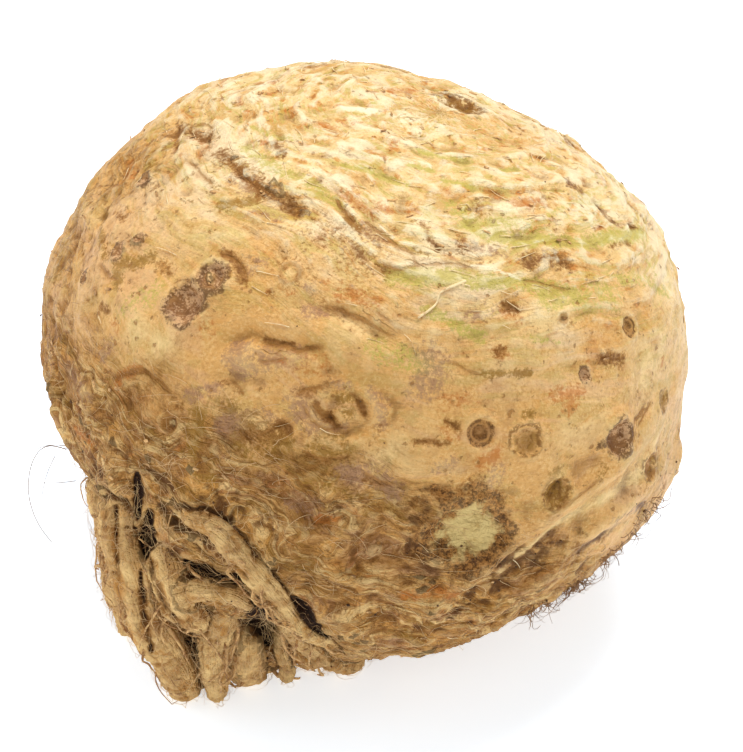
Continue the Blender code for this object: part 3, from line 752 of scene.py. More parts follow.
        (1, 0.7, -28, 13, -27, 11), (9, 0.8, 110, 83), (6, 0.8, 80, 42, 68, 44), (12, 0.5, 90, 30, 80, 5),
    ),
    Tint.SOIL: (
        (3.7, 0.8, -41, 4, -34, 0, -23, 2), (2.9, 0.5, -50, -2, -48, 4),
        (1.8, 0.7, 31, -15, 40, -19, 45, -18), (2.9, 0.5, 9, -22, 20, -19), (4.4, 0.9, 9, 4, 8, -2, 12, -7),
        (5, 0.8, 22, -14, 31, -10, 46, -13, 60, -12), (8, 0.6, 14, -20, 36, -24),
        (7, 0.95, -58, -6, -44, -5, -30, -8, -20, -14),
    ),
    Tint.ROUGH: (
        (17, 1, -100, 40, -84, 14, -66, 0, -50, -4), (12, 0.7, -80, 48, -66, 34),
        (26, 0.8, -150, 0, 170, 10), (12, 0.5, 60, -8, 110, -20),
    ),
}

WRINKLE_PLACES = (
    (0.41, 0.9, -23.1, 32.3, -20.5, 32.4, -17.3, 32.6, -14.1, 32.1, -10.5, 33.1, -8.8, 32.1),
    (0.27, 0.6, -22.2, 28.9, -19.6, 29.5, -15.3, 30.3),
    (0.49, 0.9, -10.7, 24.3, -9.4, 22.4, -7.6, 21, -5.8, 20.5),
    (0.35, 0.7, -14.1, 24.6, -12, 25.5, -7.5, 26.9, -4.9, 27.5),
    (0.35, 0.7, -3.7, 25.5, -2.2, 24.3, -1.6, 22.5, 0.4, 21.3),
    (0.29, 0.6, -12.9, 23.4, -11.2, 21.5, -8.9, 19.5, -6.1, 19.1, -3.2, 20),
    (0.37, 0.7, -11.9, 40.5, -8, 39.9, -2.6, 38.6, 2.2, 36.3, 6.3, 34.1), (0.24, 0.5, 1.2, 39.8, 5.6, 36.9),
    (0.45, 1, -50.7, 15.7, -49.7, 18.1, -46.3, 20.5, -43.4, 20.9, -39.9, 20, -36.3, 18.9),
    (0.33, 0.7, -69.6, 4.7, -63.7, 6.7, -54.8, 11.3), (0.27, 0.8, -54.7, 0.7, -54.9, -4.8),
    (0.2, 0.8, 57.3, 10.1, 54.9, 8.9, 50.9, 8.4, 50.3, 5.9, 48.5, 5.4),
    (0.2, 0.8, 59, 9.2, 55.6, 8, 52.1, 6.8), (0.24, 0.7, 41.7, 2.6, 38.9, 1.5, 34, 0.7, 30.9, -0.4),
    (0.33, 0.8, -15.6, 63.5, -10.7, 60.5, -6.9, 58.1, -4, 57.2),
    (0.29, 0.6, -3.5, 58.4, 2.7, 55.3, 8.8, 51.4, 13.7, 48.8),
    (0.27, 0.6, 36.6, 40.6, 42.1, 38, 47.2, 34.9),
    (0.37, 0.9, 59.5, -2, 61.9, -5.7, 59.2, -5.9, 56.3, -5.3),
    (0.27, 0.7, -41, 44.4, -35.1, 44.8, -30.6, 42.8, -29.4, 40.9),
    (0.29, 0.7, -46.1, 36, -44.9, 37.6, -39.9, 38.6), (0.27, 0.6, -27.1, 25.1, -24.5, 23.9, -23.4, 22.6),
    (0.29, 0.8, -21.7, 15.2, -19.2, 16.9, -16.3, 18.7, -14.5, 19.2, -14.3, 17.8, -15.5, 16.6),
    (0.29, 0.7, -11.9, 14.8, -9.7, 13.8, -5.3, 13.9, -3.1, 14.8),
    (0.33, 0.7, -13.5, 10.5, -9.7, 12.2, -6.7, 13.6),
    (0.35, 0.7, -21.2, -0.4, -16.6, -1.4, -12.2, -3.9, -8.3, -6.6),
    (0.31, 0.7, 30.1, -14.3, 33.1, -13, 41.3, -13.7), (0.27, 0.6, 18.8, -6.9, 22.1, -5.4, 26.8, -6),
    (0.27, 0.7, -79.1, 59.4, -54.9, 59.8, -40.3, 58.8), (0.29, 0.7, -84.7, 52.5, -71.7, 54.3, -59.1, 54.7),
    (0.24, 0.6, -103.9, 52.8, -104.3, 55.1, -98.3, 57.5), (0.29, 0.6, 3.2, -10.8, 7.1, -11.5, 11, -10.3),
    (0.29, 0.7, -1.4, 11.7, 1.5, 9.9, 4.6, 8.9), (0.27, 0.7, 1.4, 6.4, 2, 2.8, 1.3, -0.6),
    (0.27, 0.6, -13, -7.9, -4.3, -6.4, 5.3, -7.1), (0.29, 0.6, 2.8, 48.9, 7.8, 47.1, 21, 46.9, 28.3, 44.1),
    (0.24, 0.5, 15.2, 30.1, 18.7, 28.2, 21.9, 26.8), (0.27, 0.6, -69.8, 30.6, -65.4, 30.5, -59.3, 31.2),
    (0.27, 0.6, 12.5, 16.3, 10.4, 17, 7.5, 16.5), (0.27, 0.6, -4.4, 9.2, -7, 5.4, -12.2, 2.8),
    (0.24, 0.6, 34.1, 4.6, 32.6, 2.7, 30.3, 1.2), (0.24, 0.6, 32.5, 6.5, 30.9, 4.8, 29.9, 2.8),
)


# Each row is a tint, how many stains it has on the far sides, and their half widths and strengths.
FAR_STAINS = (
    (Tint.BROWN, 64, (0.7, 3.0), (0.6, 1.0)), (Tint.OLIVE, 22, (1.0, 3.4), (0.5, 1.0)),
    (Tint.ORANGE, 26, (0.8, 2.6), (0.5, 1.0)), (Tint.GREEN, 12, (1.2, 2.6), (0.5, 1.0)),
    (Tint.MAUVE, 16, (1.4, 3.0), (0.4, 0.8)), (Tint.PALE, 18, (0.8, 4.0), (0.4, 0.9)),
    (Tint.DARK, 8, (0.7, 1.2), (0.8, 1.0)),
)
FAR_AZIMUTHS = (92, 262)
FAR_LATITUDES = (-35, 62)
GREEN_LATITUDES = (20, 62)
FAR_STEPS = ((1, 9), (-4, 4))
TOWARDS_VIEWER = (0.0, 33.0)
FAR_SIDE = -0.02
FAR_WRINKLES = 46
WRINKLE_STARTS = ((96, 250), (-30, 45))
WRINKLE_STEPS = ((2, 6), (-3, 3))
WRINKLE_PARTS = 3
WRINKLE_SIZES = ((0.25, 0.45), (0.5, 0.9))
WRINKLE_BENDS = (22.0, 0.007, (130.0, 131.0, 132.0))
UNWRINKLED = 9.0


def in_pairs(numbers: tuple) -> tuple:
    """Numbers taken two at a time."""
    return tuple(zip(numbers[::2], numbers[1::2]))


def all_stains() -> list:
    """The stains that the viewer sees and, by a seeded rule, those on the far sides."""
    rule = random.Random(SEED + 3)
    stains = [
        Stain(tint, width, strength, in_pairs(numbers))
        for tint, rows in STAIN_PLACES.items() for width, strength, *numbers in rows
    ]
    for tint, count, widths, strengths in FAR_STAINS:
        latitudes = GREEN_LATITUDES if tint is Tint.GREEN else FAR_LATITUDES
        for _ in range(count):
            azimuth, latitude = draw(rule, FAR_AZIMUTHS, latitudes)
            if direction(azimuth, latitude) @ direction(*TOWARDS_VIEWER) > FAR_SIDE:
                continue
            turn, drop = draw(rule, *FAR_STEPS)
            places = (azimuth, latitude), (azimuth + turn, latitude + drop)
            stains.append(Stain(tint, *draw(rule, widths, strengths), places))
    return stains


def stain_cover(tint: Tint, unit: np.ndarray) -> np.ndarray:
    """How strongly all stains of one colour cover the skin.

    Args:
        tint: the colour.
        unit: unit directions.

    Returns:
        The cover at each direction.
    """
    cover = np.zeros(len(unit))
    for stain in all_stains():
        if stain.tint is tint:
            cover = np.maximum(cover, stain.cover(unit))
    return cover


def all_wrinkles() -> list:
    """The wrinkles that the viewer sees and, by a seeded rule, those on the far sides."""
    rule = random.Random(SEED + 5)
    wrinkles = [
        Wrinkle(width, strength, in_pairs(numbers)) for width, strength, *numbers in WRINKLE_PLACES
    ]
    for _ in range(FAR_WRINKLES):
        places = [draw(rule, *WRINKLE_STARTS)]
        for _ in range(WRINKLE_PARTS):
            turn, drop = draw(rule, *WRINKLE_STEPS)
            places.append((places[-1][0] + turn, places[-1][1] + drop))
        wrinkles.append(Wrinkle(*draw(rule, *WRINKLE_SIZES), tuple(places)))
    return wrinkles


def wrinkle_marks(unit: np.ndarray) -> tuple:
    """Measures directions against the nearest wrinkle.

    Args:
        unit: unit directions.

    Returns:
        The mm from it, below 0 on its right, the same in half widths, and how clearly it shows.
    """
    frequency, bend, shifts = WRINKLE_BENDS
    crooked = unit + bend * np.stack([noise_at(unit * frequency, shift) for shift in shifts], axis=1)
    crooked /= np.linalg.norm(crooked, axis=1)[:, None]
    away, shown = np.full(len(unit), UNWRINKLED), np.zeros(len(unit))
    widths = away.copy()
    for wrinkle in all_wrinkles():
        near = np.nonzero(close_to(crooked, wrinkle.places, wrinkle.reach))[0]
        if not len(near):
            continue
        its_away, its_widths, its_shown = wrinkle.measure(crooked[near])
        closer = np.abs(its_away) < np.abs(away[near])
        chosen = near[closer]
        away[chosen], widths[chosen] = its_away[closer], its_widths[closer]
        shown[chosen] = its_shown[closer]
    return away, widths, shown


@dataclass(frozen=True)
class Gap:
    """A gap between root stubs, or a seam along one, sunk into the body and darkened with painted shade;
    lengths in mm.
    """

    half_width: float
    depth: float
    places: tuple
    heading: tuple = (0.0, 0.84, -0.54)
    sunk: tuple = (7.0, 10.0)
    raised: tuple = (1.5, 3.0)
    reach: float = 4.0
    ends: tuple = (0.35, 0.65)
    ragged: tuple = (0.4, 0.5, 150.0)

    def cover(self, points: np.ndarray) -> np.ndarray:
        """How much of each point is in the gap, down to its floor; the gap's ends are narrow.

        Args:
            points: places in mm.

        Returns:
            1 in the middle of the gap to 0 away from it.
        """
        away, passed, below = np.full(len(points), np.inf), np.zeros(len(points)), np.zeros(len(points))
        inward, corners = np.array(self.heading), np.array(self.places, dtype=float)
        for place, (start, end) in enumerate(zip(corners, corners[1:])):
            along, offset = end - start, points - start
            level = along - (along @ inward) * inward
            share = np.clip(offset @ level / (level @ level), 0.0, 1.0)
            offset = offset - share[:, None] * along
            sunk = offset @ inward
            closer = np.linalg.norm(offset - sunk[:, None] * inward, axis=1)
            passed = np.where(closer < away, (place + share) / (len(corners) - 1), passed)
            below = np.where(closer < away, sunk, below)
            away = np.minimum(away, closer)
        near = away < self.reach * self.half_width
        frequency, bend, shift = self.ragged
        away[near] *= 1.0 + bend * noise_at(points[near] * frequency, shift)
        narrowest, widening = self.ends
        half_width = self.half_width * (narrowest + widening * np.sin(math.pi * passed))
        deep = (1.0 - ramp(below, *self.sunk)) * (1.0 - ramp(-below, *self.raised))
        return deep * np.exp(-((away / half_width) ** 2))


@dataclass(frozen=True)
class Relief:
    """The fine shape of the skin and the root stubs, finer than the solid holds, in mm."""

    fine_spacing: float = 3.1
    fine_height: float = 0.5
    fine_lip: float = 0.25
    fine_wobble: tuple = (6.0, 2.2, 90.0)
    fine_patches: tuple = (5.0, 0.5, 1.2)
    fine_below: tuple = (0.1, 0.9)
    wrinkle_along: float = 20.0
    wrinkle_across: float = 2.2
    wrinkle_height: float = 0.8
    wrinkle_zone: tuple = (0.12, 0.4, 0.6)
    wrinkle_shares: tuple = (0.65, 0.35)
    soft_scale: float = 2.3
    messy: tuple = (0.16, 0.84, 0.8)
    bends: tuple = ((4.5, 7.0, 120.0), (11.0, 3.4, 121.0), (24.0, 1.3, 122.0))
    groove: tuple = (0.32, 0.8)
    small_scars: tuple = (
        Scar(-36.6, 14.6, 2.0, 0.6, 0.5, ScarKind.NUB), Scar(-63.5, 38.8, 1.2, 0.4, 0.5, ScarKind.CORKY),
        Scar(41.6, 31.6, 1.1, 0.3, 0.4, ScarKind.NUB), Scar(42.6, 21.2, 1.5, 0.3, 0.4, ScarKind.CORKY),
        Scar(63, 6.5, 2.4, 0.3, 0.3, ScarKind.OLIVE), Scar(-84, 44, 1.8, 0.3, 0.4, ScarKind.CORKY),
        Scar(-66, 35, 1.8, 0.2, 0.3, ScarKind.CORKY), Scar(-72, 26, 1.6, 0.2, 0.3, ScarKind.CORKY),
    )
    scar_reach: float = 1.5
    scar_edge: tuple = (0.8, 1.15)
    scar_grain: tuple = (48.0, 90.0, 0.3, 0.15)
    corky_ring: tuple = (0.8, 0.2, 0.3)
    ringed_waves: tuple = (11.0, 0.3, 0.25)
    cut_ring: tuple = (0.85, 0.16, 0.6, 0.5, 0.15)
    swirl_waves: float = 7.0
    # The shares of a zone are those of the crown, the root end and the rough skin.
    lumps: tuple = ((7.0, 0.9, 101.0), (13.0, 0.5, 109.0), (24.0, 0.28, 102.0))
    lump_least: float = 0.45
    lump_shares: tuple = (0.4, 0.75, 0.55)
    crumple: tuple = ((15.0, 0.7, 103.0), (27.0, 0.3, 113.0))
    crumple_least: tuple = (0.07, 0.93)
    crumple_shares: tuple = (0.22, 0.6, 0.8)
    pits: tuple = (24.0, 0.45, 0.34, 104.0)
    pit_floor: float = 0.3
    pit_least: tuple = (0.12, 0.88)
    pit_shares: tuple = (0.0, 0.5, 1.0)
    dent_shift: float = 140.0
    dents: tuple = ((Tint.BROWN, 0.45, 40.0), (Tint.GREEN, 0.5, 14.0), (Tint.DARK, 0.5, 30.0),
                    (Tint.PALE, -0.3, 24.0))
    crown_reach: tuple = (40.0, 78.0)
    whorl: tuple = (12.0, 34.0)
    whorl_least: tuple = (0.3, 0.7)
    root_end: tuple = (-38.0, -52.0)
    root_end_reach: tuple = (58.0, 84.0)
    fibrous_latitudes: tuple = (-18.0, -36.0)
    gaps: tuple = (
        Gap(1.4, 3.0, ((-43.1, -47.6, 57.2), (-43.1, -47.7, 52.3), (-43.3, -47.4, 46.5))),
        Gap(2.1, 3.6, ((-41.0, -49.7, 49.5), (-41.8, -50.0, 39.3))),
        Gap(1.5, 2.0, ((-41.6, -50.7, 42.9), (-40.3, -54.7, 37.6), (-38.5, -56.1, 32.6),
                       (-36.3, -56.0, 28.0), (-33.9, -49.7, 17.0), (-33.0, -45.6, 9.8))),
        Gap(1.1, 1.1, ((-47.7, -45.9, 48.1), (-47.6, -49.5, 38.1), (-47.1, -51.2, 29.7),
                       (-45.9, -51.0, 20.4))),
        Gap(1.3, 1.5, ((-43.1, -51.0, 36.9), (-42.7, -53.4, 28.9), (-41.5, -53.5, 18.7))),
        Gap(1.7, 2.6, ((-34.0, -53.4, 40.6), (-28.2, -56.5, 39.1), (-21.4, -58.0, 39.5))),
        Gap(3.6, 4.6, ((-20.8, -56.8, 33.4), (-19.8, -55.0, 27.0), (-18.9, -50.5, 18.4)),
            sunk=(14.0, 18.0)),
        Gap(1.9, 3.2, ((-12.9, -60.0, 36.4), (-9.6, -59.3, 30.9), (-7.0, -53.8, 23.0))),
        Gap(0.8, 1.0, ((-24.6, -61.0, 46.0), (-19.0, -62.9, 40.3), (-15.3, -61.1, 33.2),
                       (-11.5, -56.3, 23.5))),
    )
    # The most painted shade in a gap, and the depth of gap that gets a whole share of it.
    gap_dark: float = 1.4
    gap_depth_for_one: float = 2.6
    root_knobs: tuple = (0.2, 0.7, 105.0)
    root_grit: tuple = (0.7, 0.35, 106.0)
    root_bark: tuple = (0.12, 1.1, 0.4, 107.0)
    root_rings: tuple = (0.9, 0.2, 0.22, 108.0)

    def gap_depth(self, points: np.ndarray) -> np.ndarray:
        """How deep the gaps between root stubs sink each point."""
        return np.max([gap.depth * gap.cover(points) for gap in self.gaps], axis=0)

    def gap_shade(self, points: np.ndarray) -> np.ndarray:
        """How much shade is painted into the gaps at each point; a deeper gap gets more painted shade."""
        return np.max([
            gap.cover(points) * min(self.gap_dark, gap.depth / self.gap_depth_for_one) for gap in self.gaps
        ], axis=0)

    def flow(self, globe: Globe, unit: np.ndarray, wavy: np.ndarray) -> np.ndarray:
        """Coordinates that run with the skin's fibres.

        Args:
            globe: the skin of the solid.
            unit: unit directions.
            wavy: the distance from the crown that the rings follow.

        Returns:
            Two numbers that run round the crown and one that runs away from it.
        """
        crown = direction(*globe.crown)
        east = np.cross((0.0, 0.0, 1.0), crown)
        east /= np.linalg.norm(east)
        north = np.cross(crown, east)
        around = globe.around(unit)
        scale = globe.skin_scale
        flow = np.stack([around @ east * scale, around @ north * scale, np.radians(wavy) * scale], axis=1)
        least, gain, rough = self.messy
        messy = least + gain * np.maximum(self.fibrous(unit), rough * stain_cover(Tint.ROUGH, unit))
        for frequency, bend, shift in self.bends:
            for axis in range(3):
                flow[:, axis] += bend * messy * noise_at(unit * frequency, shift + 3.0 * axis)
        return flow

    def skin(self, globe: Globe, unit: np.ndarray, wavy: np.ndarray, flow: np.ndarray) -> np.ndarray:
        """The height of the fine relief above the skin of the solid.

        Args:
            globe: the skin of the solid.
            unit: unit directions.
            wavy: the distance from the crown that the rings follow.
            flow: coordinates round the crown and away from it.

        Returns:
            The height at each direction.
        """
        away, (least, gain) = degrees_from(unit, *globe.crown), self.whorl_least
        near_crown = (1.0 - ramp(away, *self.crown_reach)) * (least + gain * ramp(away, *self.whorl))
        zones = near_crown, self.fibrous(unit), stain_cover(Tint.ROUGH, unit)
        frequency, degrees, shift = self.fine_wobble
        phase = np.mod((wavy + degrees * noise_at(unit * frequency, shift)) / self.fine_spacing, 1.0)
        frequency, mean, swing = self.fine_patches
        patchy = np.clip(mean + swing * noise_at(unit * frequency, shift + 1.0), 0.0, swing)
        terrace = phase ** 2 * np.clip((1.0 - phase) / self.fine_lip, 0.0, 1.0)
        least, gain = self.fine_below
        height = self.fine_height * terrace * patchy * (least + gain * near_crown)
        stretched = flow / (self.wrinkle_along, self.wrinkle_along, self.wrinkle_across)
        wrinkles = 1.0 - 2.0 * np.abs(noise_at(stretched, shift + 2.0))
        soft = 1.0 - 2.0 * np.abs(noise_at(stretched * self.soft_scale, shift + 3.0))
        least, crown_share, end_share = self.wrinkle_zone
        zone = least + crown_share * near_crown + end_share * zones[1]
        sharp_share, soft_share = self.wrinkle_shares
        height += self.wrinkle_height * zone * (sharp_share * wrinkles ** 3 + soft_share * soft)
        lumpy = self.lump_least + strongest(zones, self.lump_shares)
        for frequency, rise, shift in self.lumps:
            height += rise * lumpy * noise_at(unit * frequency, shift)
        least, gain = self.crumple_least
        crumbly = least + gain * strongest(zones, self.crumple_shares)
        for frequency, rise, shift in self.crumple:
            height += rise * crumbly * (1.0 - 2.0 * np.abs(noise_at(unit * frequency, shift)))
        least, gain = self.pit_least
        height += self.pitting(unit) * (least + gain * strongest(zones, self.pit_shares))
        for scar in (*globe.all_scars(), *self.small_scars):
            height += self.scar(scar, unit)
        for scar in self.small_scars:
            height += globe.scar_height(unit, scar)
        for tint, depth, frequency in self.dents:
            uneven = 0.5 + 0.5 * noise_at(unit * frequency, self.dent_shift)
            height -= depth * stain_cover(tint, unit) * uneven
        away, _, shown = wrinkle_marks(unit)
        depth, half_width = self.groove
        height -= depth * shown * np.exp(-((away / half_width) ** 2))
        return height - globe.crease_height(unit, filling=True)

    def pitting(self, unit: np.ndarray) -> np.ndarray:
        """Scattered pits where fine roots left the skin."""
        frequency, depth, reach, shift = self.pits
        places = unit * frequency + shift
        away = np.array([noise.voronoi(Vector(place))[0][0] for place in places])
        return -depth * (1.0 - ramp(away, self.pit_floor * reach, reach))

    def fibrous(self, unit: np.ndarray) -> np.ndarray:
        """1 over the fibrous root end and 0 over the waist and the crown."""
        latitude = np.degrees(np.arcsin(np.clip(unit[:, 2], -1.0, 1.0)))
        first, last = self.fibrous_latitudes
        near = 1.0 - ramp(degrees_from(unit, *self.root_end), *self.root_end_reach)
        return np.maximum(near, ramp(-latitude, -first, -last))

    def scar(self, scar: Scar, unit: np.ndarray) -> np.ndarray:
        """The corky grain, rings or swirl of one scar.

        Args:
            scar: the scar.
            unit: unit directions.

        Returns:
            The height at each direction.
        """
        height, away = np.zeros(len(unit)), scar.uneven_away(unit)
        near = away < self.scar_reach
        away, close = away[near], unit[near]
        inside = 1.0 - ramp(away, *self.scar_edge)
        coarse, fine, rise, fine_rise = self.scar_grain
        grain = noise_at(close * coarse, scar.azimuth)
        if scar.kind is ScarKind.CORKY:
            place, width, lip = self.corky_ring
            ring = np.exp(-(((away - place) / width) ** 2))
            crumbly = rise * grain + fine_rise * noise_at(close * fine, scar.latitude)
            height[near] = inside * crumbly + lip * ring
        elif scar.kind is ScarKind.RINGED:
            waves, swing, rough = self.ringed_waves
            height[near] = inside * (swing * np.cos(away * waves) + rough * grain)
        elif scar.kind is ScarKind.CUT:
            place, width, rough, sunk, flat = self.cut_ring
            ring = np.exp(-(((away - place) / width) ** 2))
            height[near] = flat * grain * inside + ring * (rough * grain - sunk)
        elif scar.kind is ScarKind.SWIRL:
            height[near] = inside * rise * np.sin(away * self.swirl_waves + grain)
        else:
            height[near] = inside * rise * grain
        return height

    def roots(self, flow: np.ndarray, points: np.ndarray) -> np.ndarray:
        """The height of the bark of the root stubs.

        Args:
            flow: along the stub, its number, and round it.
            points: the places themselves.

        Returns:
            The height at each place.
        """
        height = np.zeros(len(points))
        for frequency, rise, shift in (self.root_knobs, self.root_grit):
            height += rise * noise_at(points * frequency, shift)
        for along, across, rise, shift in (self.root_bark, self.root_rings):
            stretched = flow * (along, 1.0, across)
            height += rise * (1.0 - 2.0 * np.abs(noise_at(stretched, shift)))
        return height


class Neighbours:
    """Averages over a mesh's edges."""

    def __init__(self, mesh: bpy.types.Mesh) -> None:
        """Reads the edges once."""
        edges = np.empty(len(mesh.edges) * 2, dtype=np.int64)
        mesh.edges.foreach_get("vertices", edges)
        edges = edges.reshape(-1, 2)
        self.count = len(mesh.vertices)
        self.here = np.concatenate([edges[:, 0], edges[:, 1]])
        self.there = np.concatenate([edges[:, 1], edges[:, 0]])
        self.degree = np.maximum(np.bincount(self.here, minlength=self.count), 1)

    def average(self, values: np.ndarray, times: int) -> np.ndarray:
        """Evens values out over the mesh.

        Args:
            values: a number or a vector for each vertex.
            times: the rounds of averaging with the neighbours.

        Returns:
            The values after those rounds.
        """
        for _ in range(times):
            columns = values.reshape(self.count, -1)
            sums = [
                np.bincount(self.here, weights=columns[self.there, column], minlength=self.count)
                for column in range(columns.shape[1])
            ]
            mean = np.stack(sums, axis=1) / self.degree[:, None]
            values = (0.5 * columns + 0.5 * mean).reshape(values.shape)
        return values


def read_points(mesh: bpy.types.Mesh) -> np.ndarray:
    """A mesh's vertices in mm."""
    points = np.empty(len(mesh.vertices) * 3)
    mesh.vertices.foreach_get("co", points)
    return points.reshape(-1, 3) / MM


def write_points(mesh: bpy.types.Mesh, points: np.ndarray) -> None:
    """Moves a mesh's vertices to these places in mm."""
    mesh.vertices.foreach_set("co", (points * MM).ravel())
    mesh.update()


def read_normals(mesh: bpy.types.Mesh) -> np.ndarray:
    """A mesh's vertex normals."""
    normals = np.empty(len(mesh.vertices) * 3)
    mesh.vertex_normals.foreach_get("vector", normals)
    return normals.reshape(-1, 3)


def add_piece(name: str, mesh: bpy.types.Mesh) -> bpy.types.Object:
    """An object of this mesh, shaded smooth and linked into the scene."""
    piece = bpy.data.objects.new(name, mesh)
    bpy.context.scene.collection.objects.link(piece)
    mesh.shade_smooth()
    return piece


def from_bmesh(name: str, shell: bmesh.types.BMesh) -> bpy.types.Object:
    """A piece with this mesh, which is freed."""
    mesh = bpy.data.meshes.new(name)
    shell.to_mesh(mesh)
    shell.free()
    return add_piece(name, mesh)


def welded(mesh: bpy.types.Mesh) -> bmesh.types.BMesh:
    """A copy of a mesh with its doubled vertices merged."""
    shell = bmesh.new()
    shell.from_mesh(mesh)
    bmesh.ops.remove_doubles(shell, verts=shell.verts, dist=WELD * MM)
    return shell


def apply_modifiers(piece: bpy.types.Object) -> None:
    """Turns an object's modifiers into its own mesh."""
    bpy.context.view_layer.update()
    graph = bpy.context.evaluated_depsgraph_get()
    piece.data = bpy.data.meshes.new_from_object(piece.evaluated_get(graph))
    piece.modifiers.clear()


@dataclass(frozen=True)
class Ground:
    """The body's surface, on which hairs, flakes and soil stand."""

    tree: BVHTree
    points: np.ndarray
    normals: np.ndarray
    masks: dict

    def nearest(self, place: Vector) -> tuple:
        """The nearest point of the surface, its normal, and how far above it the place is."""
        spot, normal, _, _ = self.tree.find_nearest(place)
        return spot, normal, (place - spot).dot(normal)

    def onto(self, azimuth: float, latitude: float) -> tuple:
        """The outermost point of the surface in a direction from the globe's middle, and its normal."""
        middle, out = Globe().centre(), Vector(direction(azimuth, latitude))
        spot, normal, _, _ = self.tree.ray_cast(middle + out * OUTSIDE, -out)
        return spot, normal

    def choose(self, rule: random.Random, weights: np.ndarray, count: int) -> list:
        """This many vertices, drawn by their weights."""
        return rule.choices(range(len(weights)), weights=weights.tolist(), k=count)


